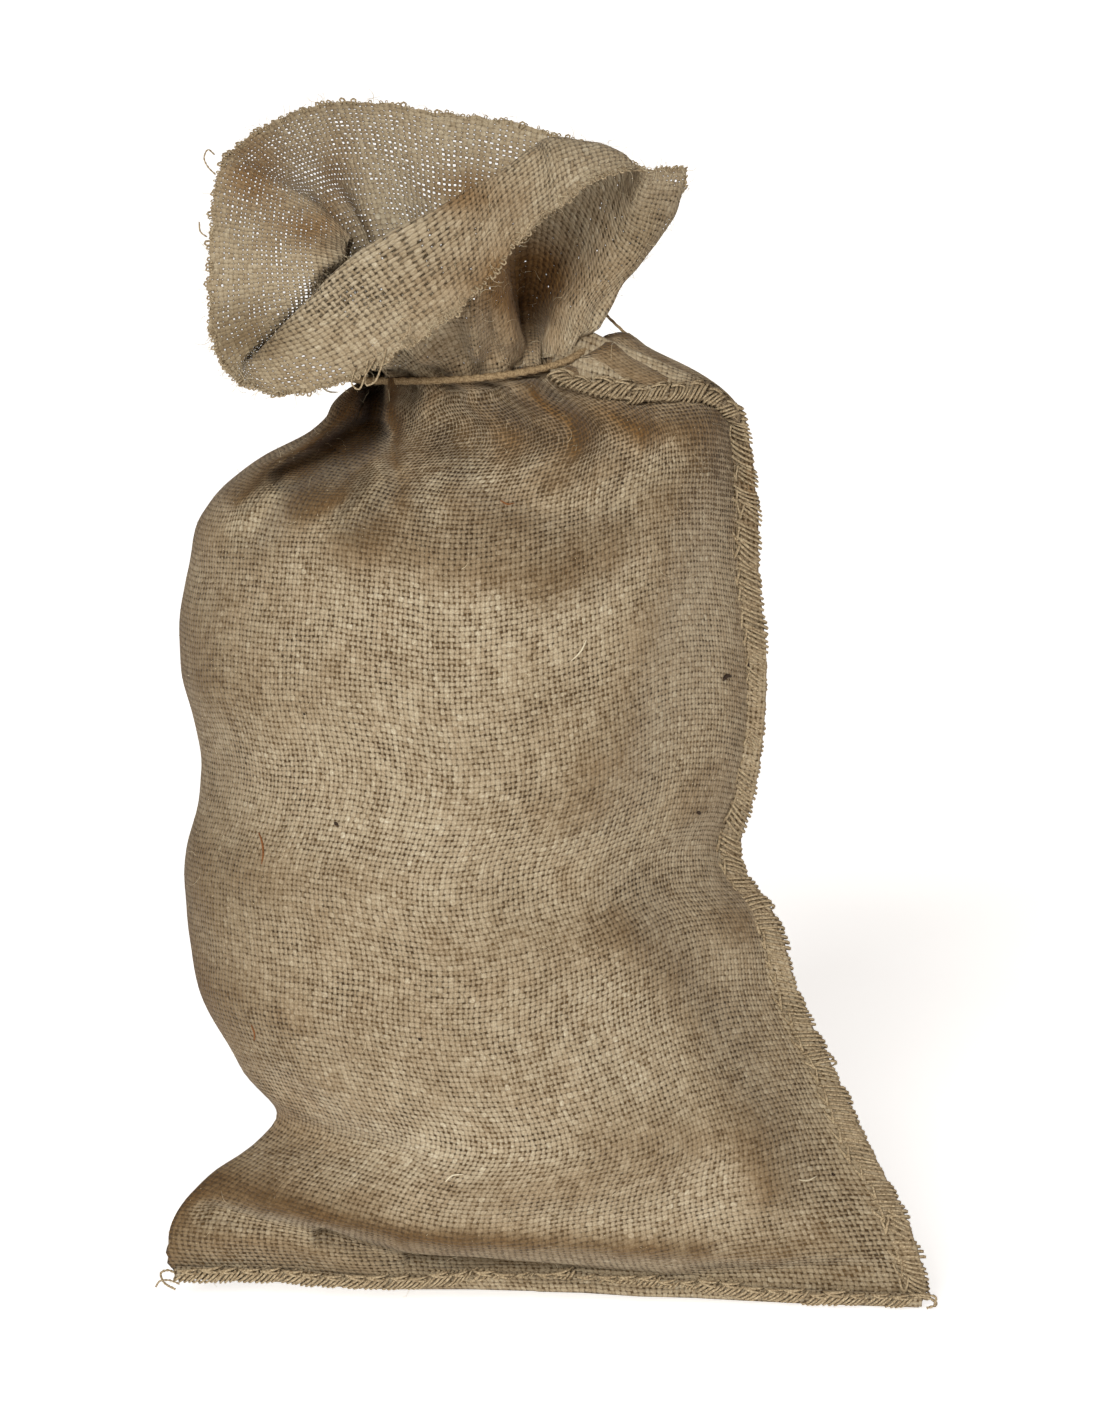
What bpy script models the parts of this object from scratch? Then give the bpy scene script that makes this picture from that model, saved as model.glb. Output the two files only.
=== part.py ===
"""A small burlap sack, filled, tied round the neck with jute twine, its mouth turned out over the tie.

Run it with: blender --background --python part.py
Lengths are in millimetres until a mesh or a curve is made, which is in metres. +Z is up, the front
faces -Y, and the origin is on the floor under the middle of the sack's foot.

The sack is one length of cloth, folded at its left side and sewn up its right side and along its
bottom, so it is one solid: filled below the tie, and a thin open sheet above it.
"""

import math

import bmesh
import bpy
import numpy as np
from mathutils import Matrix, Vector
from mathutils.bvhtree import BVHTree

MM = 0.001

# Driving sizes
SHEET = 2.4  # thickness of the open cloth above the tie, with its folds
FLANGE_THICK = 4.4  # two layers of cloth and the yarn that is sewn over their edge
FLANGE_FULL = 6.0  # width of flange from which it is that thick
FLANGE_FLAT = 0.15
TIE_THICK = 3.2
TIE_GAP = 0.65  # between the twine and the cloth that it holds
TIE_HEIGHT = 374.5
TIE_RISE = 9.0  # how much higher the twine is at the neck's right side
TIE_MIDDLE = (-29.0, -12.0)
TIE_REACH = (50.0, 28.0)
TIE_KNOT_ANGLE = math.radians(-60)  # round the neck from its right side, towards the front
TIE_POINTS = 56
SEAT_ROUNDS = 6
CAVITY_DIP = 4.0
KNOT_SIZE = 7.0
KNOT_SHIFT = (1.0, 2.5, 1.0)  # from the twine round the neck to the middle of its knot
# The twine's ends, by places from the middle of the knot on, with the thickness at knot and at tip.
TIE_ENDS = (
    (
        ((0, 0, 0), (5, 1, 9), (12, -1, 18), (19, -7, 22), (25, -14, 21), (31, -20, 16), (36, -25, 10)),
        (3.0, 1.4),
    ),
    (((0, 0, 0), (-3, 5, -4), (-7, 9, -11), (-10, 13, -20)), (3.2, 3.0)),
)
END_POINTS = 14
FOOT = (0.0, -56.5, 0.0)  # the point of the flat foot that sees all of its outline
CAVITY_FLOOR = 404.0  # height at which the gathers close the bottom of the mouth

# Mesh density
HALF_POINTS = 28  # from the side seam over the front to the left fold, and as many over the back
RING_SPACING = 11.0
MOUTH_RINGS = (5, 5, 6)  # from the neck to mid, on to the crest, and on to the cut edge

# A level ring of the filled cloth. left, right, front and back are how far it reaches, with the
# seam's flange inside right; tip is the y of its side edges. sharp 1 is a round side and 2 a pointed
# one. rise lifts the ring's right side, and gather is how deep the pleats under the tie cut into it.
SECTION_COLUMNS = (
    "height", "rise", "left", "right", "front", "back", "tip", "sharp_left", "sharp_right", "flange",
    "gather",
)
SECTIONS = (
    (0.0, 0, -152, 152, -59, 62, -56, 2.6, 2.6, 8, 0),
    (7.0, 0, -157, 157, -63, 67, -57, 2.6, 2.6, 9, 0),
    (16.0, 0, -157, 155, -73, 70, -57, 2.5, 2.5, 9, 0),
    (34.0, 0, -152, 147, -82, 74, -54, 2.3, 2.4, 9, 0),
    (54.0, 0, -137, 140, -88, 76, -48, 2.0, 2.3, 9, 0),
    (73.0, 0, -114, 131, -91, 77, -40, 1.5, 2.2, 9, 0),
    (94.0, 0, -128, 121, -93, 77, -30, 1.3, 2.1, 9, 0),
    (126.0, 0, -145, 106, -94, 76, -18, 1.2, 1.9, 9, 0),
    (156.0, 0, -150, 96, -93, 75, -10, 1.2, 1.7, 8, 0),
    (181.0, 0, -149, 83, -91, 74, -6, 1.2, 1.5, 8, 0),
    (214.0, 0, -143, 90, -89, 72, -4, 1.2, 1.5, 8, 0),
    (256.0, 0, -151, 92, -87, 68, -4, 1.2, 1.5, 8, 0),
    (296.0, 0, -149, 90, -83, 62, -5, 1.2, 1.5, 8, 0),
    (320.0, 0, -141, 88, -76, 55, -6, 1.2, 1.5, 8, 1),
    (332.0, 0, -131, 87, -70, 49, -8, 1.2, 1.4, 7, 2),
    (342.5, 4, -114, 84, -63, 42, -9, 1.2, 1.3, 6, 3),
    (352.0, 12, -97, 78, -56, 34, -10, 1.1, 1.2, 5, 3),
    (359.5, 17, -85, 63, -49, 27, -11, 1.0, 1.1, 3, 3),
    (365.5, 21, -79, 42, -43, 21, -11, 1.0, 1.0, 1.6, 2),
    (370.0, 23, -78, 30, -40, 16, -11, 1.0, 1.0, 0.8, 0),
    (373.5, 11, -77, 18, -38, 14, -12, 1.0, 1.0, 0.8, 0),
    (376.5, 13, -77, 16.5, -38, 14, -12, 1.0, 1.0, 0.8, 0),
)
GATHERS = 11  # pleats round the neck
RISE_FADE = 4  # how fast the lift of the right shoulder fades to the left
SEAM_ANGLE = 4  # half of the side seam's share of the neck, in degrees

# The open cloth over the tie, a row for each fold, by its angle round the neck: 0 is right, 90 front,
# 180 left. Each goes from the neck through mid and crest to the cut edge of the mouth.
MOUTH_COLUMNS = (
    "angle", "mid_x", "mid_y", "mid_z", "crest_x", "crest_y", "crest_z", "edge_x", "edge_y", "edge_z",
)
MOUTH = (
    (0, 35, -11, 424, 53, -12, 450, 56, -13, 462),
    (18, 31, -24, 423, 49, -27, 453, 52, -28, 463),
    (34, 16, -24, 422, 40, -34, 460, 42, -43, 464),
    (50, 0, -15, 424, 24, -38, 466, 27, -56, 461),
    (64, -12, -20, 423, 9, -43, 469, 11, -68, 450),
    (78, -22, -46, 421, -6, -52, 468, -7, -77, 437),
    (93, -35, -46, 420, -23, -56, 462, -24, -82, 419),
    (108, -50, -46, 416, -44, -60, 449, -42, -84, 403),
    (124, -62, -44, 411, -65, -62, 436, -60, -86, 391),
    (140, -73, -38, 405, -82, -62, 423, -79, -84, 380),
    (156, -83, -34, 401, -98, -60, 409, -103, -75, 373),
    (172, -88, -26, 401, -110, -48, 401, -122, -56, 376),
    (188, -90, -16, 409, -114, -34, 406, -127, -36, 389),
    (204, -88, -8, 417, -109, -18, 425, -130, -13, 413),
    (222, -83, 4, 424, -108, 2, 442, -133, 6, 440),
    (242, -72, 13, 430, -99, 21, 457, -127, 24, 464),
    (262, -58, 18, 433, -76, 31, 464, -100, 38, 483),
    (282, -40, 20, 434, -48, 36, 464, -62, 45, 486),
    (302, -20, 18, 434, -16, 34, 461, -20, 44, 479),
    (322, 2, 12, 432, 12, 24, 456, 18, 30, 468),
    (342, 22, 0, 428, 36, 4, 454, 42, 8, 462),
)

# Troughs of the front, from one place to another: depth is inwards, and width is across the trough.
FOLD_COLUMNS = ("x", "z", "end_x", "end_z", "depth", "width")
FOLDS = (
    (-62, 378, -76, 354, 18, 7),
    (-76, 352, -114, 318, 11, 9),
    (-90, 366, -104, 346, 6, 5),
    (-22, 354, 6, 334, 7, 13),
    (66, 366, 6, 371, 7, 6),
    (30, 300, 42, 120, 5, 20),
    (-112, 72, -58, 66, 10, 12),
    (-142, 24, -60, 16, 7, 7),
    (120, 40, 70, 20, 5, 9),
)

JUTE = (0.42, 0.31, 0.19)
TWINE = (0.50, 0.38, 0.24)


def table(names, rows):
    """The columns of a table of rows, by name."""
    return dict(zip(names, np.array(rows, float).T, strict=True))


def smooth(at, knots, values, period=None):
    """A smooth curve through values at knots, read at each of at. With a period it closes on itself."""
    if period:
        knots = np.concatenate([knots[-2:] - period, knots, knots[:2] + period])
        values = np.concatenate([values[-2:], values, values[:2]])
    slope = np.gradient(values, knots)
    i = np.clip(np.searchsorted(knots, at, side="right") - 1, 0, len(knots) - 2)
    step = knots[i + 1] - knots[i]
    t = (at - knots[i]) / step
    return (
        (2 * t**3 - 3 * t**2 + 1) * values[i]
        + (t**3 - 2 * t**2 + t) * step * slope[i]
        + (3 * t**2 - 2 * t**3) * values[i + 1]
        + (t**3 - t**2) * step * slope[i + 1]
    )


def spaced(points, count):
    """count + 1 points evenly along a line, both ends included."""
    along = np.concatenate([[0], np.cumsum(np.linalg.norm(np.diff(points, axis=0), axis=1))])
    at = np.linspace(0, along[-1], count + 1)
    return np.stack([np.interp(at, along, points[:, k]) for k in range(3)], axis=1)


def flange_half(section):
    """Half the seam's thickness, which is pressed flat where its flange runs out at the neck."""
    return FLANGE_THICK / 2 * np.clip(section["flange"] / FLANGE_FULL - FLANGE_FLAT, FLANGE_FLAT, 1)


def half_ring(section, side, reach):
    """Half of a ring, from the seam's root to the left fold, on the front (side -1) or the back (1)."""
    turn = np.linspace(0, math.pi, 241)
    root = section["right"] - section["flange"]
    middle, half = (root + section["left"]) / 2, (root - section["left"]) / 2
    leftness = (1 - np.cos(turn)) / 2
    sharp = section["sharp_right"] + (section["sharp_left"] - section["sharp_right"]) * leftness
    pleat = section["gather"] * (1 - np.cos(GATHERS * turn)) / 2 * np.sin(turn)
    depth = side * (reach - section["tip"]) * np.sin(turn) ** sharp - pleat
    depth = np.maximum(depth, flange_half(section) * (leftness < 0.5))
    x = middle + half * np.cos(turn)
    z = section["height"] + section["rise"] * (1 - leftness) ** RISE_FADE
    return spaced(np.stack([x, section["tip"] + side * depth, z], axis=1), HALF_POINTS)


def ring(section):
    """A ring of the sack: its seam's flange, over the front to the left fold, and back behind."""
    z = section["height"] + section["rise"]
    half = flange_half(section)
    seam = [(section["right"], section["tip"] + side * half, z) for side in (-1, 1)]
    front = half_ring(section, -1, section["front"])
    back = half_ring(section, 1, section["back"])[-2::-1]
    return np.concatenate([seam[:1], front, back, seam[1:]])


def press_folds(points):
    """Press the troughs into the front of the cloth, each fading towards its end."""
    folds = table(FOLD_COLUMNS, FOLDS)
    pressed = points.copy()
    for k in range(len(FOLDS)):
        start = np.array([folds["x"][k], folds["z"][k]])
        run = np.array([folds["end_x"][k], folds["end_z"][k]]) - start
        place = points[..., [0, 2]] - start
        along = np.clip(place @ run / (run @ run), 0, 1)
        away = np.linalg.norm(place - along[..., None] * run, axis=-1) / folds["width"][k]
        front = np.clip(-points[..., 1] / 30, 0, 1)
        pressed[..., 1] += folds["depth"][k] * (1 - 0.5 * along) * np.exp(-(away**2)) * front
    return pressed


def body_rings():
    """Rings of the filled cloth, from the floor to just above the tie."""
    sections = table(SECTION_COLUMNS, SECTIONS)
    heights = sections["height"]
    levels = []
    for low, high in zip(heights[:-1], heights[1:], strict=True):
        steps = max(1, round((high - low) / RING_SPACING))
        levels.extend(np.linspace(low, high, steps, endpoint=False))
    levels.append(heights[-1])
    rings = []
    for level in levels:
        section = {name: smooth(level, heights, column) for name, column in sections.items()}
        rings.append(ring(section))
    return press_folds(np.array(rings))


def mouth_rings(neck):
    """Rings of the open cloth's outer face, from the neck to the cut edge."""
    rows = table(MOUTH_COLUMNS, MOUTH)
    front = np.linspace(SEAM_ANGLE, 180, HALF_POINTS + 1)
    seam = [SEAM_ANGLE / 3]
    turn = np.concatenate([seam, front, 360 - front[-2::-1], 360 - np.array(seam)])
    knots = [neck]
    for place in ("mid", "crest", "edge"):
        axes = [smooth(turn, rows["angle"], rows[f"{place}_{axis}"], 360) for axis in "xyz"]
        knots.append(np.stack(axes, axis=1))
    knots = np.array(knots)
    along = np.cumsum([np.linalg.norm(step, axis=1) for step in np.diff(knots, axis=0)], axis=0)
    along = np.concatenate([np.zeros((1, len(neck))), along])
    shares = [place + np.arange(1, count + 1) / count for place, count in enumerate(MOUTH_RINGS)]
    rings = np.empty((sum(MOUTH_RINGS), *neck.shape))
    for k in range(len(neck)):
        at = np.interp(np.concatenate(shares), range(len(knots)), along[:, k])
        for axis in range(3):
            rings[:, k, axis] = smooth(at, along[:, k], knots[:, k, axis])
    return rings


def inner_rings(outer):
    """The cloth's inner face: the outer rings moved in by its thickness, from the edge down."""
    around = np.roll(outer, -1, axis=1) - np.roll(outer, 1, axis=1)
    down = np.gradient(outer, axis=0)
    normal = np.cross(around, down)
    normal /= np.linalg.norm(normal, axis=2, keepdims=True)
    inner = (outer + SHEET * normal)[::-1]
    return inner[inner[:, :, 2].mean(axis=1) > CAVITY_FLOOR]


def closed_mesh(rings, foot, floor):
    """A closed mesh over rings, capped at the first with a fan to foot and at the last to floor."""
    form = bmesh.new()
    loops = [[form.verts.new(point * MM) for point in points] for points in rings]
    poles = [form.verts.new(np.array(point) * MM) for point in (foot, floor)]
    count = len(loops[0])
    for low, high in zip(loops[:-1], loops[1:], strict=True):
        for k in range(count):
            n = (k + 1) % count
            form.faces.new((low[n], low[k], high[k], high[n]))
    for k in range(count):
        n = (k + 1) % count
        form.faces.new((loops[0][k], loops[0][n], poles[0]))
        form.faces.new((loops[-1][n], loops[-1][k], poles[1]))
    mesh = bpy.data.meshes.new("sack")
    form.to_mesh(mesh)
    form.free()
    return mesh


def strand(points, thickness, cyclic=False):
    """A length of twine along points, as a mesh with closed ends; thickness tapers from one to two."""
    curve = bpy.data.curves.new("strand", "CURVE")
    curve.dimensions = "3D"
    curve.bevel_depth = TIE_THICK / 2 * MM
    curve.bevel_resolution = 2
    curve.use_fill_caps = True
    spline = curve.splines.new("POLY")
    spline.points.add(len(points) - 1)
    radii = np.linspace(*thickness, len(points)) / TIE_THICK
    for point, place, radius in zip(spline.points, points, radii, strict=True):
        point.co = (*(place * MM), 1)
        point.radius = radius
    spline.use_cyclic_u = cyclic
    guide = bpy.data.objects.new("strand", curve)
    bpy.context.scene.collection.objects.link(guide)
    mesh = bpy.data.meshes.new_from_object(guide.evaluated_get(bpy.context.evaluated_depsgraph_get()))
    bpy.data.objects.remove(guide)
    return mesh


def smooth_line(places):
    """Evenly spread points on a smooth line through places."""
    places = np.array(places, float)
    along = np.concatenate([[0], np.cumsum(np.linalg.norm(np.diff(places, axis=0), axis=1))])
    at = np.linspace(0, along[-1], END_POINTS)
    return np.stack([smooth(at, along, places[:, axis]) for axis in range(3)], axis=1)


def knot(middle):
    """The knot's lump."""
    form = bmesh.new()
    bmesh.ops.create_icosphere(
        form, subdivisions=2, radius=KNOT_SIZE / 2 * MM, matrix=Matrix.Translation(Vector(middle) * MM)
    )
    mesh = bpy.data.meshes.new("knot")
    form.to_mesh(mesh)
    form.free()
    return mesh


def seated(points, cloth, radius=TIE_THICK / 2):
    """Points moved off the cloth until a round of that radius at each clears it by the gap."""
    clear = (radius + TIE_GAP) * MM
    places = [Vector(point * MM) for point in points]
    for _ in range(SEAT_ROUNDS):
        for k, place in enumerate(places):
            hit, normal, _, away = cloth.find_nearest(place)
            outside = (place - hit).dot(normal) > 0
            if not outside or away < clear:
                places[k] = hit + normal * clear
    return np.array(places) / MM


def neck_route():
    """The twine's round trip of the neck, from its right side's back, before it is pulled on."""
    turn = np.linspace(0, 2 * math.pi, TIE_POINTS, endpoint=False) + TIE_KNOT_ANGLE
    return np.stack([
        TIE_MIDDLE[0] + TIE_REACH[0] * np.cos(turn),
        TIE_MIDDLE[1] - TIE_REACH[1] * np.sin(turn),
        TIE_HEIGHT + TIE_RISE * ((1 + np.cos(turn)) / 2) ** 2,
    ], axis=1)


def material(name, colour, roughness):
    """A plain principled material."""
    surface = bpy.data.materials.new(name)
    surface.use_nodes = True
    shader = surface.node_tree.nodes["Principled BSDF"]
    shader.inputs["Base Color"].default_value = (*colour, 1)
    shader.inputs["Roughness"].default_value = roughness
    return surface


def add(name, mesh, surface):
    """Put a mesh in the scene as a named piece."""
    mesh.materials.clear()
    mesh.materials.append(surface)
    piece = bpy.data.objects.new(name, mesh)
    bpy.context.scene.collection.objects.link(piece)
    return piece


def make_sack():
    """The sack: filled body, gathered neck and open mouth, as one closed form."""
    body = body_rings()
    mouth = mouth_rings(body[-1])
    inner = inner_rings(mouth)
    floor = inner[-1].mean(axis=0) - (0, 0, CAVITY_DIP)
    mesh = closed_mesh(np.concatenate([body, mouth, inner]), FOOT, floor)
    mesh.shade_smooth()
    return add("sack", mesh, material("jute_cloth", JUTE, 0.9))


def make_tie(sack):
    """The twine round the neck, its knot behind, and its two ends, joined into one body."""
    twine = material("jute_twine", TWINE, 0.85)
    cloth = BVHTree.FromObject(sack, bpy.context.evaluated_depsgraph_get())
    route = seated(neck_route(), cloth)
    tie = add("tie", strand(route, (TIE_THICK, TIE_THICK), cyclic=True), twine)
    middle = seated(route[:1] + KNOT_SHIFT, cloth, KNOT_SIZE / 2)[0]
    parts = [knot(middle)]
    for places, thickness in TIE_ENDS:
        parts.append(strand(seated(smooth_line(middle + np.array(places)), cloth), thickness))
    for k, mesh in enumerate(parts):
        cutter = add(f"tie_part_{k}", mesh, twine)
        cutter.hide_render = True
        cutter.display_type = "WIRE"
        join = tie.modifiers.new(f"join_{k}", "BOOLEAN")
        join.operation = "UNION"
        join.object = cutter
    return tie


def main():
    for piece in list(bpy.data.objects):
        bpy.data.objects.remove(piece)
    sack = make_sack()
    make_tie(sack)


main()
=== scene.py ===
"""Looks of a small filled burlap sack: open jute cloth, sewn with jute yarn and tied with twine.

Lengths are in millimetres until a mesh is made, which is in metres, in the frame's own axes: +Z up,
the front faces -Y and the sewn side is at +X. The cloth is one length, folded at its left side: a
place on it is counted round the sack from the side seam over the front, and up from the bottom seam.
"""

import math

import bmesh
import bpy
import numpy as np
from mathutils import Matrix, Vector, noise
from mathutils.bvhtree import BVHTree


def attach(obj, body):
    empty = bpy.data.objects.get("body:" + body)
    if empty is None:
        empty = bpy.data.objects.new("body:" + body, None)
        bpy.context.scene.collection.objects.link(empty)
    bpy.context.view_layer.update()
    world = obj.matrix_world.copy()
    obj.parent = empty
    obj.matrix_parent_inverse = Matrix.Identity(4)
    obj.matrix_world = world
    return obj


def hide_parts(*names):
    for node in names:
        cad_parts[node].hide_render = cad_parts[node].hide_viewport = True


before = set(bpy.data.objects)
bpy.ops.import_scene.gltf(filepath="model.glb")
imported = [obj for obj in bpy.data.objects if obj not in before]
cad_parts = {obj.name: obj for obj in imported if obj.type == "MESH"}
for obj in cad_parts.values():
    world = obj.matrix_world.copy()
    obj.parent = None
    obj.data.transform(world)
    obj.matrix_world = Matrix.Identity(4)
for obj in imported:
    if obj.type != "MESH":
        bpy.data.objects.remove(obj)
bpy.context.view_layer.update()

MM = 0.001

# The camera: where it looks, how far off it stands, how steeply it looks down, and how tall its view is
# where it looks.
CAMERA_AIM = (1.6, 0.0, 237.1)
CAMERA_AWAY = 2000.0
CAMERA_RISE = math.radians(8)
VIEW_HEIGHT = 583.0
SENSOR = 36.0

# The studio, in metres: its floor, the wall behind, and the light from all round, by how high it comes from.
FLOOR_REACH = 400.0
FLOOR_WALL = 20.0
FLOOR_DROP = 0.0006
FLOOR_GLOW = 0.72
SKY_TONES = ((0.1, "#ffe9cf"), (0.75, "#574736"))
SKY_LIGHT = 0.64

# The cloth and its yarn
THREAD_PITCH = 2.2
CLOTH_ROUND = 620.0  # the cloth round the sack: twice its width when it is laid flat
CLOTH_ABOVE = 120.0  # from the tie to the cut edge
SELVEDGE = 7.0  # width of the closely woven edge
FLANGE_THICK = 4.0  # two layers of cloth under the yarn that is sewn over their edge
STITCH = 8.6  # along the seams, from one stitch to the next
YARN = 1.35
TWINE = 3.2
TWINE_PLIES = 3
TWINE_LAY = 13.0  # length of one turn of its plies

# Mesh density
COLUMNS = 300  # round the sack from one side of its seam to the other
FLANGE_COLUMNS = 4
RING_SPACING = 2.8
NECK_SPACING = 1.3
NECK_FROM = 322.0
MOUTH_ROWS = 84
OUTLINE_POINTS = 481

# A level ring of the filled cloth. left, right, front and back are how far it reaches, with the
# seam's flange inside right; tip is the y of its side edges. sharp 1 is a round side and 2 a pointed
# one. rise lifts the ring's right side.
SECTION_COLUMNS = (
    "height", "rise", "left", "right", "front", "back", "tip", "sharp_left", "sharp_right", "flange",
)
SECTIONS = (
    (0.0, 0, -150, 151, -55, 60, -54, 2.6, 2.6, 8),
    (7.0, 0, -154, 154, -58, 65, -56, 2.6, 2.6, 9),
    (12.5, 0, -155, 153.5, -60, 67, -57, 2.5, 2.6, 10),
    (20.0, 0, -154.5, 151.5, -67, 70, -57, 2.4, 2.6, 10),
    (34.0, 0, -151, 147, -77, 73, -54, 2.2, 2.5, 11),
    (54.0, 0, -136, 137, -87, 75, -48, 1.9, 2.3, 11),
    (73.0, 0, -111, 127, -91, 76, -40, 1.5, 2.1, 10),
    (94.0, 0, -125, 117, -93, 77, -30, 1.3, 2.0, 10),
    (126.0, 0, -143, 102, -94, 76, -18, 1.2, 1.8, 9),
    (145.0, 0, -146, 97, -93, 75, -13, 1.2, 1.7, 8),
    (158.0, 0, -148, 91.5, -92, 75, -10, 1.2, 1.6, 8),
    (170.0, 0, -149.3, 82, -91, 74, -7, 1.2, 1.5, 8),
    (181.0, 0, -148.3, 80, -90, 74, -6, 1.2, 1.5, 8),
    (203.0, 0, -142, 85, -89, 73, -5, 1.2, 1.5, 8),
    (214.0, 0, -140.6, 87, -89, 72, -4, 1.2, 1.5, 8),
    (256.0, 0, -149, 90, -87, 68, -4, 1.2, 1.5, 8),
    (296.0, 0, -146, 86.5, -83, 62, -5, 1.2, 1.5, 8),
    (320.0, 0, -140.5, 86, -76, 55, -6, 1.0, 1.5, 8),
    (332.0, 0, -131, 84.5, -70, 49, -8, 0.8, 1.4, 7),
    (342.5, 4, -115, 82.5, -63, 42, -9, 0.65, 1.3, 6),
    (352.0, 12, -97, 77, -56, 34, -10, 0.6, 1.2, 5),
    (359.5, 17, -89, 62, -49, 27, -11, 0.6, 1.1, 3),
    (365.5, 21, -86, 42, -43, 21, -11, 0.7, 1.0, 1.6),
    (370.0, 23, -82, 30, -40, 16, -11, 0.9, 1.0, 0.8),
    (373.5, 11, -76.5, 18, -38, 14, -12, 1.0, 1.0, 0.8),
    (376.5, 13, -76.5, 16.5, -38, 14, -12, 1.0, 1.0, 0.8),
)
RISE_FADE = 4
CORNER_TOP = 60.0  # height up to which the left corner stands back and off the floor
CORNER_BACK = 12.0
CORNER_LIFT = 4.0

# The creases into which the tie gathers the cloth, by the place round the cloth where each lies and
# by its width of cloth. down and up are how far it runs from the tie, and deep and deep_up scale its
# depth under and over the tie.
CREASE_COLUMNS = ("place", "width", "deep", "down", "deep_up", "up")
CREASES = (
    (18, 28, 0.5, 26, 0.5, 50),
    (58, 38, 0.6, 40, 0.5, 54),
    (98, 36, 0.7, 52, 0.7, 50),
    (137, 32, 0.6, 60, 0.9, 70),
    (177, 41, 0.6, 72, 1.0, 86),
    (222, 43, 0.5, 60, 1.0, 90),
    (267, 38, 0.7, 60, 1.0, 90),
    (310, 34, 0.6, 66, 1.0, 90),
    (351, 43, 0.7, 80, 1.0, 104),
    (396, 38, 0.6, 58, 1.0, 104),
    (440, 43, 0.7, 84, 1.0, 104),
    (485, 38, 0.6, 60, 1.0, 104),
    (528, 41, 0.7, 78, 1.0, 100),
    (573, 39, 0.6, 44, 0.9, 84),
    (606, 23, 0.5, 26, 0.6, 60),
)
CREASE_SQUEEZE = 0.95
CREASE_SOFT = 0.22  # how round a crease's bottom is, as a share of its half width

# Troughs of the front, from one place to another: depth is inwards, and width is across the trough.
FOLD_COLUMNS = ("x", "z", "end_x", "end_z", "depth", "width")
FOLDS = (
    (-69, 378, -69, 354, 36, 4.5),
    (-70, 354, -86, 344, 38, 7),
    (-86, 344, -104, 336, 34, 5.5),
    (-104, 336, -118, 316, 14, 7),
    (-77, 366, -90, 354, -10, 5),
    (-90, 354, -105, 348, -11, 5),
    (-105, 348, -124, 328, -9, 6),
    (-63, 374, -60, 340, -8, 4),
    (-60, 340, -50, 318, -5, 6),
    (-80, 332, -98, 324, -7, 7),
    (-65, 338, -77, 323, 14, 6),
    (-40, 360, -24, 336, 8, 7),
    (-24, 336, 4, 325, 8, 8),
    (4, 325, 26, 330, 7, 8),
    (26, 330, 46, 346, 7, 8),
    (-22, 368, 4, 357, 9, 5),
    (-6, 372, 9, 361, -7, 4),
    (9, 361, 11, 350, -5, 4),
    (12, 368, 40, 340, 6, 6),
    (68, 366, 6, 368, 10, 6),
    (74, 358, 77, 296, 7, 6),
    (-70, 314, 0, 298, -4, 12),
    (0, 298, 50, 318, -5, 12),
    (50, 322, 30, 243, -6, 13),
    (30, 243, 4, 196, -5, 15),
    (76, 315, 62, 240, 6, 15),
    (62, 240, 38, 196, 6, 15),
    (80, 179, -10, 186, 7, 14),
    (18, 178, 62, 119, -6, 13),
    (62, 119, 90, 54, -6, 13),
    (52, 160, 88, 108, 6, 13),
    (88, 108, 112, 56, 5, 13),
    (-112, 72, -58, 66, 11, 9),
    (-108, 92, -92, 84, 5, 8),
    (-134, 36, -90, 27, 10, 6),
    (-90, 26, -55, 13, 18, 5),
    (-55, 13, 10, 8, 20, 4),
    (10, 8, 60, 7, 14, 4),
    (60, 10, 136, 16, 7, 5),
    (-112, 47, -55, 31, -7, 7),
    (-55, 30, 60, 24, -7, 8),
)
FOLD_DEEP = 33.0  # a deeper fold has steep sides
FOLD_SOFT = 2.0
FOLD_STEEP = 4.0
FOLD_FADE = 0.3  # the share of its depth that a fold loses towards its end
FOLD_FRONT = 12.0  # folds are at their full depth where the cloth is so far in front of the middle

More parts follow.
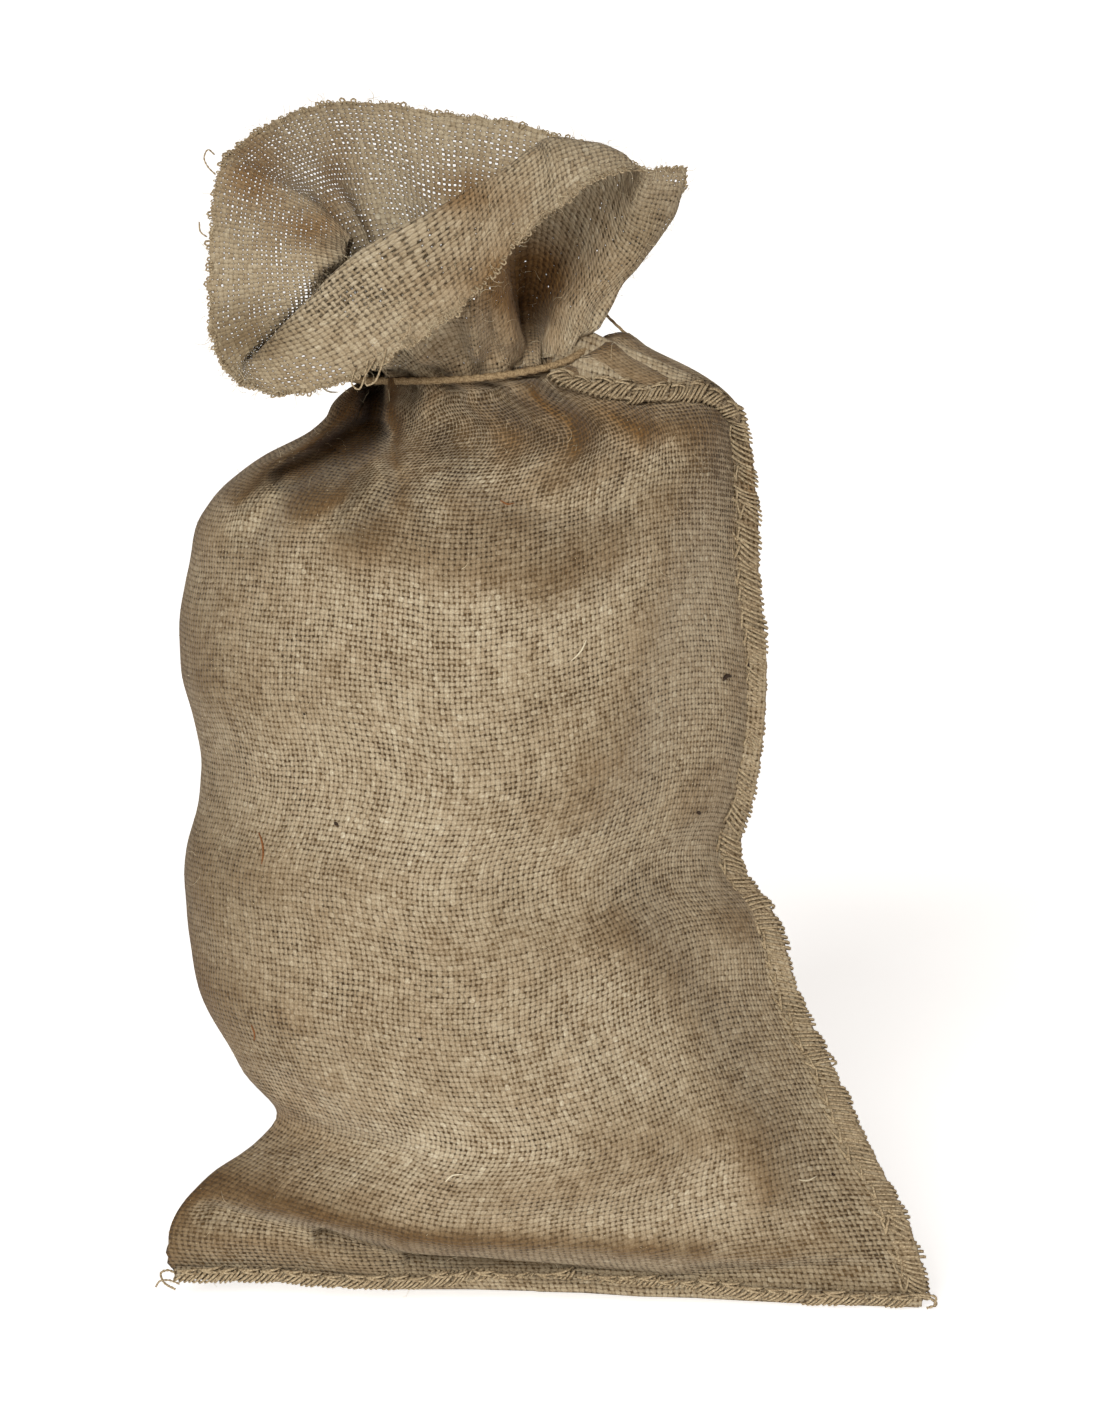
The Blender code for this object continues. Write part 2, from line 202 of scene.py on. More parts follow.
# The open cloth over the tie, a row for each fold, by its angle round the neck: 0 is right, 90 front,
# 180 left. Each goes from the neck through low, mid and crest to the cut edge of the mouth.
MOUTH_COLUMNS = (
    "angle", "low_x", "low_y", "low_z", "mid_x", "mid_y", "mid_z", "crest_x", "crest_y", "crest_z",
    "edge_x", "edge_y", "edge_z",
)
MOUTH = (
    (0, 22, -9, 403, 40, -10, 424, 52, -11, 441, 55, -14, 450),
    (10, 22, -14, 403, 40, -15, 424, 52, -18, 445, 55, -24, 459),
    (20, 19, -15, 403, 37, -18, 426, 44, -28, 448, 47, -34, 459.5),
    (30, 15, -14, 403, 30, -18, 428, 37, -34, 452, 40, -42, 458),
    (38, 11, -12, 403, 23, -17, 431, 33, -39, 463, 34, -48, 459),
    (46, 7, -8, 403, 16, -14, 433, 24.5, -41, 468, 27, -54, 458),
    (54, 1, -3, 403, 7, -9, 435, 15.4, -43, 470, 20, -59, 456),
    (62, -6, 2, 403, -4, -5, 436, 5.5, -46, 471, 12, -64, 451),
    (70, -14, 2, 403, -13, -7, 436, -1, -49, 469, 6, -67, 445),
    (76, -17, -40, 403, -19, -48, 430, -6, -51, 467, -1, -70, 440),
    (81, -20, -52, 404, -18, -59, 431, -18, -54, 459, -11, -74, 431),
    (88, -27, -53, 404, -26, -58, 428, -30, -56, 451, -24, -80, 416),
    (98, -37, -50, 403, -42, -53, 420, -49, -58, 441.5, -35, -83, 405),
    (110, -48, -46, 401, -58, -52, 416, -68, -60, 431, -43, -85, 399),
    (122, -57, -42, 398, -68, -51, 411, -81, -62, 422, -56, -86, 391),
    (134, -66, -38, 395, -80, -51, 403, -96, -65, 407, -74, -86, 380),
    (144, -73, -34, 392, -90, -49, 394, -106, -67, 396, -88, -86, 376),
    (153, -78, -30, 390, -96, -47, 388, -113, -69, 388, -102, -83, 373),
    (162, -82, -25, 390, -98, -45, 386, -118, -66, 384, -113, -79, 374.5),
    (170, -84, -21, 391, -97, -41, 390, -117, -62, 387, -122, -72, 378),
    (178, -86, -17, 393, -94, -36, 397, -108, -59, 396, -128.5, -63, 386),
    (186, -86, -13, 396, -90, -32, 404, -99, -56, 405, -132.4, -54, 396),
    (195, -86, -8, 399, -86, -30, 411, -90, -53, 414, -133.5, -43, 409),
    (205, -84, -3, 402, -82, -27, 418, -80, -49, 424, -134, -29, 430),
    (215, -81, 1, 404, -79, -22, 422, -73, -43, 431, -133, -12, 450),
    (223, -78, 4, 405, -77, -16, 424, -76, -33, 434, -130.6, -2, 461.5),
    (232, -75, 7, 406, -77, -9, 426, -88, -18, 441, -125, 7, 467),
    (242, -69, 10, 407, -75, 1, 428, -92, 0, 451, -114, 20, 475),
    (254, -60, 13, 407, -70, 10, 430, -83, 18, 459, -94, 37, 483),
    (268, -48, 16, 407, -58, 17, 432, -65, 29, 461, -70, 45, 484),
    (284, -35, 17, 407, -41, 21, 433, -44, 33, 460, -44, 46, 480),
    (300, -18, 16, 406, -20, 20, 433, -17, 33, 457, -15, 44, 476),
    (316, 0, 11, 405, 4, 14, 430, 8, 26, 453, 9, 36, 470),
    (332, 13, 3, 404, 24, 4, 428, 28, 12, 449, 31, 20, 462),
    (347, 20, -3, 403, 36, -4, 425, 43, -2, 444, 47, 2, 453),
)
MOUTH_LEVELS = ("low", "mid", "crest", "edge")
MOUTH_THREADS = 0.82  # as the open cloth is drawn together, it shows this share of the threads

# Where the weave is more open (or closer) than elsewhere; where the jute is browner, in real stains and in
# painted shade along creases; and where painted shade darkens the cloth where less light falls: in creases,
# on the shoulders and sides and at the foot. Each patch fades from its middle, where its amount is what the
# table says.
PATCH_COLUMNS = ("x", "z", "wide", "high", "amount")
OPEN_PATCHES = (
    (-125, 24, 34, 16, 0.7), (118, 26, 34, 18, 0.5), (72, 336, 20, 26, 1.1), (-44, 358, 24, 14, 0.9),
    (-48, 300, 50, 34, 0.3), (38, 128, 34, 26, 0.3), (-110, 105, 14, 20, 0.4), (-104, 430, 20, 30, 0.1),
    (-66, 462, 46, 26, 0.5), (-66, 408, 60, 14, 0.7), (52, 268, 18, 40, -0.5), (70, 150, 20, 30, -0.4),
    (88, 100, 20, 40, -0.3), (-130, 150, 20, 60, -0.2), (20, 440, 26, 20, -0.1), (0, 14, 70, 12, -0.2),
    (-20, 346, 70, 20, 0.8), (34, 380, 30, 9, -1.6), (-20, 396, 40, 12, -0.8), (4, 357, 40, 13, 0.8),
    (-84, 410, 16, 8, 0.9), (-52, 424, 16, 8, 0.9), (-84, 436, 14, 20, -0.6), (-110, 404, 14, 14, -0.5),
)
# Browner jute: partly real stains, in the mouth, and partly painted shade that browns the creases, the neck
# and the foot's crease.
STAIN_AND_SHADE_PATCHES = (
    (-117, 456, 14, 16, 0.9), (-86, 456, 7, 14, 0.6), (-30, 449, 16, 9, 0.8), (-93, 436, 14, 8, 0.8),
    (-8, 410, 18, 22, 0.9), (-11, 327, 30, 10, 0.2), (-106, 78, 22, 16, 0.5), (84, 330, 8, 60, 0.6),
    (-122, 26, 30, 10, 0.15), (20, 362, 34, 9, 0.4), (-34, 384, 30, 12, 0.15), (-75, 22, 50, 8, 0.15),
    (-142, 118, 12, 40, 0.3), (86, 180, 14, 30, 0.4), (-72, 360, 7, 12, 1.2), (-84, 348, 11, 6, 1.2),
    (-100, 339, 11, 5, 0.9), (0, 358, 80, 16, 0.35), (-10, 416, 40, 12, 0.5),
)
# Painted shade: grey darkening where less light falls, in creases, on the shoulders, the left side and the
# turned-under foot.
PAINTED_SHADE_PATCHES = (
    (0, 14, 190, 18, 0.3), (0, 356, 120, 20, 0.3), (-146, 200, 30, 150, 0.65), (92, 290, 16, 70, 0.3),
    (-100, 330, 40, 20, 0.2), (125, 45, 30, 50, 0.4), (-118, 394, 18, 14, 0.9), (44, 432, 24, 24, 0.7),
    (-72, 360, 6, 12, 0.9), (-84, 348, 10, 6, 0.9), (-100, 339, 10, 5, 0.6), (4, 357, 46, 15, -0.8),
    (-42, 352, 24, 16, -0.9),
)
# Painted shade in the cloth's hollows: the deeper a place sits below the cloth round it, the darker and
# browner it is painted.
HOLLOW_REACH = 5.0  # of the cloth's rows and columns, over which a hollow is told from the cloth round it
HOLLOW_DEEP = 6.0  # a hollow so deep gets the darkest painted shade
HOLLOW_SHADE_BROWN = 0.7  # and is browned by painted shade this much

# How uneven the cloth is, in layers: how high, in patches of what size, and the seed of each.
BODY_SWELL = ((1.6, 55, 3.1), (0.7, 19, 7.7))
MOUTH_SWELL = ((1.1, 26, 11.3), (0.5, 9, 5.9))
MOUTH_FRAY = ((1.6, 7, 2.2), (1.0, 3, 8.8))

# How far the foot's front edge is off the floor, by x, and the seam that is sewn along it.
FOOT_RISE = (
    (-155, 5.0), (-133, 5.5), (-100, 8.0), (-30, 8.0), (15, 6.8), (38, 5.2), (61, 4.6), (84, 3.4),
    (106, 2.3), (155, 0.6),
)
ROLL_FROM = 45.0  # how far in front of the middle the foot has its whole rise
FOOT_SEAM_ENDS = (-151, 152)
FOOT_SEAM_HIGH = 6.6
FOOT_SEAM_WIDE = 5.4
FOOT_CORNER = 146.0  # the cloth has no front further out than this to lay the seam on
SIDE_SEAM = (6.0, 364.0)  # the heights between which the side seam is overlocked
SEAM_STRIP_THICK = 3.6

# The seam where it rolls over the right shoulder: its ridge, and its sewn edge that hangs in front.
ROLL_COLUMNS = ("top_x", "top_z", "low_x", "low_z")
SHOULDER_ROLL = (
    (6, 391, 2, 378), (14, 394, 9, 373), (24, 391, 20, 370), (36, 386, 34, 367), (50, 380, 48, 367),
    (62, 374, 61, 367), (72, 367, 71, 362), (79, 359, 78, 356),
)

# The twine: its route, from the end behind through the knot and round the neck, and back to the knot
# and out to the end that shows. Its points follow the frame's own tie to within 3 mm.
KNOT = (-3.5, 17.0, 380.5)
TWINE_BACK_END = ((-13.5, 29.0, 361.0), (-10.5, 25.5, 369.0), (-6.5, 21.5, 376.5))
TWINE_ROUND = (
    (-12.0, 17.5, 378.0), (-31.0, 17.6, 376.6), (-54.5, 13.6, 375.0), (-72.6, 3.2, 374.5),
    (-79.0, -12.5, 374.5), (-72.6, -26.0, 374.6), (-54.0, -37.0, 375.1), (-27.1, -40.8, 376.6),
    (-10.0, -38.6, 378.6), (6.4, -32.6, 382.1), (15.6, -21.8, 386.2), (19.9, -11.0, 387.6),
    (16.4, 2.0, 386.0), (7.0, 11.4, 383.0),
)
TWINE_SHOWN_END = (
    (2.5, 17.5, 389.0), (9.0, 15.6, 398.0), (15.6, 9.4, 402.6), (21.6, 2.4, 401.4),
    (27.6, -3.6, 396.2), (32.6, -8.6, 391.8),
)
TWINE_THIN = 0.42  # the shown end is one thin ply of the twine
KNOT_SIZE = 2.4
KNOT_STRAND = 1.25
KNOT_TILTS = (0.2, 1.3, 2.4)


def table(names, rows):
    """The columns of a table of rows, by name."""
    return dict(zip(names, np.array(rows, float).T, strict=True))


def smooth(at, knots, values, period=None):
    """A smooth curve through values at knots, read at each of at. With a period it closes on itself."""
    if period:
        knots = np.concatenate([knots[-2:] - period, knots, knots[:2] + period])
        values = np.concatenate([values[-2:], values, values[:2]])
    slope = np.gradient(values, knots)
    i = np.clip(np.searchsorted(knots, at, side="right") - 1, 0, len(knots) - 2)
    step = knots[i + 1] - knots[i]
    t = (at - knots[i]) / step
    return (
        (2 * t**3 - 3 * t**2 + 1) * values[i]
        + (t**3 - 2 * t**2 + t) * step * slope[i]
        + (3 * t**2 - 2 * t**3) * values[i + 1]
        + (t**3 - t**2) * step * slope[i + 1]
    )


def fade(value, start, end):
    """0 at start and 1 at end, softly."""
    t = np.clip((value - start) / (end - start), 0, 1)
    return t * t * (3 - 2 * t)


def unit(vectors):
    """Vectors of the same directions, each 1 long."""
    return vectors / np.maximum(np.linalg.norm(vectors, axis=-1, keepdims=True), 1e-9)


def lengths(points):
    """How far along a line each of its points is."""
    return np.concatenate([[0], np.cumsum(np.linalg.norm(np.diff(points, axis=0), axis=1))])


def places_at(line, along, at):
    """The places on a line of points at distances at, where along is how far along it each point is."""
    return np.stack([np.interp(at, along, line[:, k]) for k in range(3)], axis=1)


def blurred(values, reach):
    """Values smoothed along their last axis by a bell curve of that reach, in places."""
    span = int(3 * reach)
    bell = np.exp(-0.5 * (np.arange(-span, span + 1) / reach) ** 2)
    padded = np.pad(values, [(0, 0)] * (values.ndim - 1) + [(span, span)], mode="edge")
    return np.apply_along_axis(lambda row: np.convolve(row, bell / bell.sum(), "valid"), -1, padded)


def unevenness(points, size, seed):
    """A soft random value from -1 to 1 at each point, in patches of that size."""
    flat = points.reshape(-1, 3) / size + seed
    return np.array([noise.noise(Vector(place)) for place in flat]).reshape(points.shape[:-1])


def roughness(points, layers):
    """Unevenness in layers, each with its height, size and seed."""
    return sum(high * unevenness(points, size, seed) for high, size, seed in layers)


def normals(grid):
    """The outward normals of a grid of points, whose columns run round the sack and rows go up."""
    return unit(np.cross(np.gradient(grid, axis=1), np.gradient(grid, axis=0)))


# ---------------------------------------------------------------- camera, light and floor


def make_camera():
    """A level camera that looks down a little, from far off."""
    lens = bpy.data.cameras.new("camera")
    lens.sensor_fit = "VERTICAL"
    lens.sensor_height = SENSOR
    lens.lens = SENSOR * CAMERA_AWAY / VIEW_HEIGHT
    lens.clip_end = 1000
    camera = bpy.data.objects.new("camera", lens)
    aim = Vector(CAMERA_AIM) * MM
    away = Vector((0, -math.cos(CAMERA_RISE), math.sin(CAMERA_RISE))) * CAMERA_AWAY * MM
    camera.location = aim + away
    camera.rotation_euler = (-away).to_track_quat("-Z", "Y").to_euler()
    bpy.context.scene.collection.objects.link(camera)
    bpy.context.scene.camera = camera


def colour(code):
    """The linear colour of an sRGB hex code."""
    values = [int(code[i : i + 2], 16) / 255 for i in (1, 3, 5)]
    linear = [v / 12.92 if v <= 0.04045 else ((v + 0.055) / 1.055) ** 2.4 for v in values]
    return (*linear, 1)


def node(tree, kind, settings=None, inputs=None, stops=()):
    """A new node with its settings. An input is a value, or a socket that is linked to it. A ramp's
    stops are each a place from 0 to 1 and a colour."""
    made = tree.nodes.new(kind)
    for name, value in (settings or {}).items():
        setattr(made, name, value)
    for name, value in (inputs or {}).items():
        if isinstance(value, bpy.types.NodeSocket):
            tree.links.new(value, made.inputs[name])
        else:
            made.inputs[name].default_value = value
    for k, (at, code) in enumerate(stops):
        stop = made.color_ramp.elements[k] if k < 2 else made.color_ramp.elements.new(at)
        stop.position = at
        stop.color = colour(code)
    return made


def make_sun(name, toward, power, spread, tint):
    """A wide soft light whose rays run along toward."""
    light = bpy.data.lights.new(name, "SUN")
    light.energy = power
    light.angle = math.radians(spread)
    light.color = colour(tint)[:3]
    lamp = bpy.data.objects.new(name, light)
    lamp.rotation_euler = Vector(toward).to_track_quat("-Z", "Y").to_euler()
    bpy.context.scene.collection.objects.link(lamp)


def make_floor():
    """A wide white floor and a wall far behind it, which fill the view."""
    mesh = bpy.data.meshes.new("floor")
    run = ((-FLOOR_REACH, 0), (FLOOR_REACH, 0), (FLOOR_REACH, FLOOR_WALL))
    corners = [(x, y, z) for y, z in run for x in (-FLOOR_REACH, FLOOR_REACH)]
    mesh.from_pydata(corners, [], [(0, 1, 3, 2), (2, 3, 5, 4)])
    surface = bpy.data.materials.new("white_paper")
    surface.use_nodes = True
    shader = surface.node_tree.nodes["Principled BSDF"]
    for label, value in (
        ("Base Color", colour("#f6f8fb")), ("Roughness", 0.95), ("Specular IOR Level", 0.0),
        ("Emission Color", colour("#ffffff")), ("Emission Strength", FLOOR_GLOW),
    ):
        shader.inputs[label].default_value = value
    mesh.materials.append(surface)
    floor = bpy.data.objects.new("floor", mesh)
    floor.location.z = -FLOOR_DROP
    bpy.context.scene.collection.objects.link(floor)


def make_studio():
    """Soft light, most of it from the left in front, on a white floor."""
    world = bpy.data.worlds.new("studio")
    world.use_nodes = True
    tree = world.node_tree
    direction = node(tree, "ShaderNodeTexCoord").outputs["Generated"]
    rise = node(tree, "ShaderNodeSeparateXYZ", inputs={0: direction}).outputs["Z"]
    sky = node(tree, "ShaderNodeValToRGB", inputs={0: rise}, stops=SKY_TONES)
    tree.links.new(sky.outputs["Color"], tree.nodes["Background"].inputs["Color"])
    tree.nodes["Background"].inputs["Strength"].default_value = SKY_LIGHT
    bpy.context.scene.world = world
    bpy.context.scene.view_settings.view_transform = "Standard"
    make_sun("key", (0.26, 1.0, -0.4), 2.65, 18, "#fcfdfb")
    make_sun("fill", (-0.9, 1.0, -0.25), 0.4, 60, "#fafbff")
    make_floor()


# ---------------------------------------------------------------- materials


MIX_A, MIX_B, MIXED = 6, 7, 2  # a mix node's two colours, and its result
FLAT = {"noise_dimensions": "2D"}


def calculate(tree, values, steps):
    """Add maths nodes for steps (name, operation, operands), each operand a number or a value's name."""
    for name, operation, *operands in steps:
        inputs = {k: values[each] if isinstance(each, str) else each for k, each in enumerate(operands)}
        values[name] = node(tree, "ShaderNodeMath", {"operation": operation}, inputs).outputs[0]


# The weave's two sets of threads: the place across and along, the threads' number, half a thread's
# mean width, in threads, and how fast its yarn's lumps follow one another.
THREADS = (("warp", "u", "v", "column", 0.355, 1.0), ("weft", "v", "u", "line", 0.395, 1.13))
LUMP_SHIFT = 3.37  # from one thread to the next, so that no two have the same lumps
LUMP_RATE = 0.16

# How much of a thread's half width comes and goes with its lumps, with how close the weave is, by
# chance at each hole, and at the woven edge.
BY_LUMPS = 0.34
BY_CLOSENESS = 0.20
BY_CHANCE = 0.17
BY_EDGE = 0.10

# How the threads wander: the scale, in threads, and how far.
WANDERS = ((0.02, 1.5), (0.13, 0.55))

JUTE_TONES = ((0.05, "#6b5b45"), (0.35, "#8f7e64"), (0.62, "#ab9d84"), (0.95, "#cfc7b2"))
HOLE_TONES = ("#1c1208", "#6a5438")
# The browns: partly stains, partly painted shade in creases.
STAIN_AND_SHADE_TINT = "#c2a47e"
# The grey of painted shade, where less light falls.
PAINTED_SHADE_TINT = "#bcb3a5"

# One thread of the weave: the same steps for warp and weft. own is the place across this thread, in
# threads, and over is +1 where it lies on top. lump is where its yarn is thick.
THREAD_STEPS = (
    ("row", "FLOOR", "own"),
    ("across", "SUBTRACT", "own", "row"),
    ("across", "SUBTRACT", "across", 0.5),
    ("half", "MULTIPLY_ADD", "lump", BY_LUMPS, "least_half"),
    ("half", "MULTIPLY_ADD", "dense", BY_EDGE, "half"),
    ("half", "MULTIPLY_ADD", "close", BY_CLOSENESS, "half"),
    ("half", "MULTIPLY_ADD", "by_chance", BY_CHANCE, "half"),
    ("rate", "DIVIDE", "across", "half"),
    ("rate", "MULTIPLY", "rate", "rate"),
    ("round", "SUBTRACT", 1.0, "rate"),
    ("inside", "GREATER_THAN", "round", 0.0),
    ("round", "MAXIMUM", "round", 0.0),
    ("round", "SQRT", "round"),
    ("swing", "MULTIPLY", "other_centre", math.pi),
    ("swing", "COSINE", "swing"),
    ("swing", "MULTIPLY", "swing", "over"),
    ("height", "MULTIPLY", "round", 0.55),
    ("height", "MULTIPLY_ADD", "swing", 0.42, "height"),
    ("height", "ADD", "height", 1.0),
    ("height", "MULTIPLY", "height", "inside"),
)

# Which thread is on top, and where: odd is every other crossing. The painted marks of the cloth are
# brought into their range here.
WEAVE_STEPS = (
    ("close", "MULTIPLY_ADD", "open", -0.5, "close"),
    ("mottle", "SUBTRACT", "mottle", 0.5),
    ("stain_and_shade", "MULTIPLY_ADD", "mottle", 0.7, "stain_and_shade"),
    ("stain_and_shade", "MAXIMUM", "stain_and_shade", 0.0),
    ("stain_and_shade", "MINIMUM", "stain_and_shade", 1.0),
    ("painted_shade", "MINIMUM", "painted_shade", 1.0),
    ("column", "FLOOR", "u"),
    ("line", "FLOOR", "v"),
    ("both", "ADD", "column", "line"),
    ("odd", "PINGPONG", "both", 1.0),
    ("warp_over", "MULTIPLY_ADD", "odd", 2.0, -1.0),
    ("weft_over", "MULTIPLY", "warp_over", -1.0),
    ("u_centre", "SUBTRACT", "u", "column"),
    ("u_centre", "SUBTRACT", "u_centre", 0.5),
    ("v_centre", "SUBTRACT", "v", "line"),
    ("v_centre", "SUBTRACT", "v_centre", 0.5),
    ("hole_column", "ROUND", "u"),
    ("hole_line", "ROUND", "v"),
    ("dense", "DIVIDE", "from_edge", SELVEDGE * MM),
    ("dense", "SUBTRACT", 1.0, "dense"),
    ("dense", "MAXIMUM", "dense", 0.0),
)

# tone runs from the darkest yarn to the palest, and lit from a hole to the crown of a thread: painted shade
# that darkens the yarn where it dips towards the holes.
TONE_STEPS = (
    ("height", "MAXIMUM", "warp_height", "weft_height"),
    ("warp_shows", "GREATER_THAN", "warp_height", "weft_height"),
    ("cloth", "MAXIMUM", "warp_inside", "weft_inside"),
    ("tone_gap", "SUBTRACT", "warp_lump", "weft_lump"),
    ("tone", "MULTIPLY_ADD", "tone_gap", "warp_shows", "weft_lump"),
    ("tone", "SUBTRACT", "tone", 0.5),
    ("tone", "MULTIPLY_ADD", "tone", 0.6, 0.5),
    ("speck", "SUBTRACT", "cell", 0.5),
    ("tone", "MULTIPLY_ADD", "speck", 0.08, "tone"),
    ("grain", "SUBTRACT", "fine", 0.5),
    ("tone", "MULTIPLY_ADD", "grain", 0.8, "tone"),
    ("broad", "SUBTRACT", "patch", 0.5),
    ("tone", "MULTIPLY_ADD", "broad", 0.3, "tone"),
    ("lit", "SUBTRACT", "height", 0.95),
    ("lit", "DIVIDE", "lit", 0.75),
    ("lit", "MAXIMUM", "lit", 0.0),
    ("lit", "MINIMUM", "lit", 1.0),
    ("lit", "POWER", "lit", 0.9),
)

# Noises over the cloth, by their scale in threads: where the weave is close, browner, finely streaked,
# and lighter or darker as a whole, and how dark its holes are.
MOTTLES = (
    ("close", 0.075, 4.0, 0.7), ("mottle", 0.12, 3.0, 0.7), ("fine", 2.6, 3.0, 0.75),
    ("patch", 0.03, 2.0, 0.5), ("hole_tone", 0.11, 2.0, 0.6),
)


def hollows(grid):
    """How far a grid of points is, from 0 to 1, sunk in hollows of the cloth."""
    level = blurred(grid.transpose(2, 0, 1), HOLLOW_REACH)
    level = blurred(level.transpose(0, 2, 1), HOLLOW_REACH).transpose(2, 1, 0)
    return np.clip(((level - grid) * normals(grid)).sum(axis=-1) / HOLLOW_DEEP, 0, 1)


def painted(mesh, from_edge=None, sunk=None):
    """Give a cloth mesh what its weave reads: how far each place is from the cut edge, how open it is
    there, how brown (stains, and painted shade in creases) and how darkened by painted shade."""
    places = np.empty(len(mesh.vertices) * 3)
    mesh.vertices.foreach_get("co", places)
    places = places.reshape(-1, 3) / MM
    layers = {"from_edge": np.ones(len(places)) if from_edge is None else from_edge.ravel() * MM}
    # The brown layer is partly stains and partly painted shade; the last layer is painted shade.
    for label, rows in (("open", OPEN_PATCHES), ("stain_and_shade", STAIN_AND_SHADE_PATCHES), ("painted_shade", PAINTED_SHADE_PATCHES)):
        patches = table(PATCH_COLUMNS, rows)
        off = ((places[:, :1] - patches["x"]) / patches["wide"]) ** 2
        off += ((places[:, 2:] - patches["z"]) / patches["high"]) ** 2
        layers[label] = np.exp(-off) @ patches["amount"]
    # Painted shade: the cloth is darkened and browned in its hollows.
    if sunk is not None:
        layers["painted_shade"][: sunk.size] += sunk.ravel()
        layers["stain_and_shade"][: sunk.size] += HOLLOW_SHADE_BROWN * sunk.ravel()
    for label, values in layers.items():
        held = mesh.attributes.new(label, "FLOAT", "POINT")
        held.data.foreach_set("value", values)


def wandered(tree, place):
    """A place on the cloth, in threads, moved aside as the threads wander."""
    for scale, reach in WANDERS:
        drift = node(
            tree, "ShaderNodeTexNoise", FLAT,
            {"Vector": place, "Scale": scale, "Detail": 2.0, "Roughness": 0.6},
        )
        aside = node(
            tree, "ShaderNodeVectorMath", {"operation": "SUBTRACT"},
            {0: drift.outputs["Color"], 1: (0.5, 0.5, 0.5)},
        )
        place = node(
            tree, "ShaderNodeVectorMath", {"operation": "MULTIPLY_ADD"},
            {0: aside.outputs[0], 1: (reach, reach, 0.0), 2: place},
        ).outputs[0]
    return place


def woven(tree, openness):
    """What the weave is at each place of the cloth: its height, its tone, and whether there is yarn."""
    place = node(tree, "ShaderNodeUVMap", {"uv_map": "cloth"}).outputs["UV"]
    place = node(
        tree, "ShaderNodeVectorMath", {"operation": "SCALE"}, {0: place, "Scale": 1 / (THREAD_PITCH * MM)}
    ).outputs[0]
    place = wandered(tree, place)
    split = node(tree, "ShaderNodeSeparateXYZ", inputs={0: place})
    values = {"u": split.outputs["X"], "v": split.outputs["Y"]}
    for label in ("from_edge", "open", "stain_and_shade", "painted_shade"):
        values[label] = node(tree, "ShaderNodeAttribute", {"attribute_name": label}).outputs["Fac"]
    for label, scale, detail, rough in MOTTLES:
        values[label] = node(
            tree, "ShaderNodeTexNoise", FLAT,
            {"Vector": place, "Scale": scale, "Detail": detail, "Roughness": rough},
        ).outputs["Fac"]
    calculate(tree, values, WEAVE_STEPS)
    for label, column, line in (("cell", "column", "line"), ("by_chance", "hole_column", "hole_line")):
        cell = node(tree, "ShaderNodeCombineXYZ", inputs={"X": values[column], "Y": values[line]}).outputs[0]
        values[label] = node(tree, "ShaderNodeTexWhiteNoise", FLAT, {"Vector": cell}).outputs["Value"]
    for thread, own, other, number, half, lumps in THREADS:
        calculate(tree, values, (
            ("yarn", "MULTIPLY", number, LUMP_SHIFT),
            ("run", "MULTIPLY", other, LUMP_RATE),
        ))
        strand = node(
            tree, "ShaderNodeCombineXYZ", inputs={"X": values["yarn"], "Y": values["run"]}
        ).outputs[0]
        lump = node(
            tree, "ShaderNodeTexNoise", FLAT,
            {"Vector": strand, "Scale": lumps, "Detail": 3.0, "Roughness": 0.62},
        ).outputs["Fac"]
        local = {
            **values, "own": values[own], "other_centre": values[f"{other}_centre"],
            "over": values[f"{thread}_over"], "lump": lump,
            "least_half": half - (BY_LUMPS + BY_CLOSENESS + BY_CHANCE) / 2 - openness,
        }
        calculate(tree, local, THREAD_STEPS)
        values.update({f"{thread}_{part}": local[part] for part in ("height", "inside", "lump")})
    calculate(tree, values, TONE_STEPS)
    return values


def weave(name, holes_open, openness=0.0):
    """Plain woven jute, undyed: dull and hairy, of lumpy yarn, so that its holes come and go."""
    surface = bpy.data.materials.new(name)
    surface.use_nodes = True
    tree = surface.node_tree
    tree.nodes.clear()
    values = woven(tree, openness)
    jute = node(tree, "ShaderNodeValToRGB", inputs={0: values["tone"]}, stops=JUTE_TONES).outputs["Color"]
    # Multiply in the browns, partly stains and partly painted shade, then the grey of painted shade.
    for label, tint in (("stain_and_shade", STAIN_AND_SHADE_TINT), ("painted_shade", PAINTED_SHADE_TINT)):
        jute = node(
            tree, "ShaderNodeMix", {"data_type": "RGBA", "blend_type": "MULTIPLY"},
            {0: values[label], MIX_A: jute, MIX_B: colour(tint)},
        ).outputs[MIXED]
    dark, less_dark = (colour(code) for code in HOLE_TONES)
    hole = node(
        tree, "ShaderNodeMix", {"data_type": "RGBA"}, {0: values["hole_tone"], MIX_A: dark, MIX_B: less_dark}
    ).outputs[MIXED]
    # Painted shade: the yarn fades to the holes' colour where it dips between threads.
    shown = node(
        tree, "ShaderNodeMix", {"data_type": "RGBA"}, {0: values["lit"], MIX_A: hole, MIX_B: jute}
    ).outputs[MIXED]
    bump = node(
        tree, "ShaderNodeBump", inputs={"Strength": 1.0, "Distance": 0.6 * MM, "Height": values["height"]}
    )
    shader = node(
        tree, "ShaderNodeBsdfPrincipled",
        inputs={
            "Base Color": shown, "Roughness": 0.9, "Normal": bump.outputs[0], "Specular IOR Level": 0.15,
            "Sheen Weight": 0.06, "Sheen Roughness": 0.5,
        },
    )
    if holes_open:
        tree.links.new(values["cloth"], shader.inputs["Alpha"])
    node(tree, "ShaderNodeOutputMaterial", inputs={"Surface": shader.outputs[0]})
    return surface


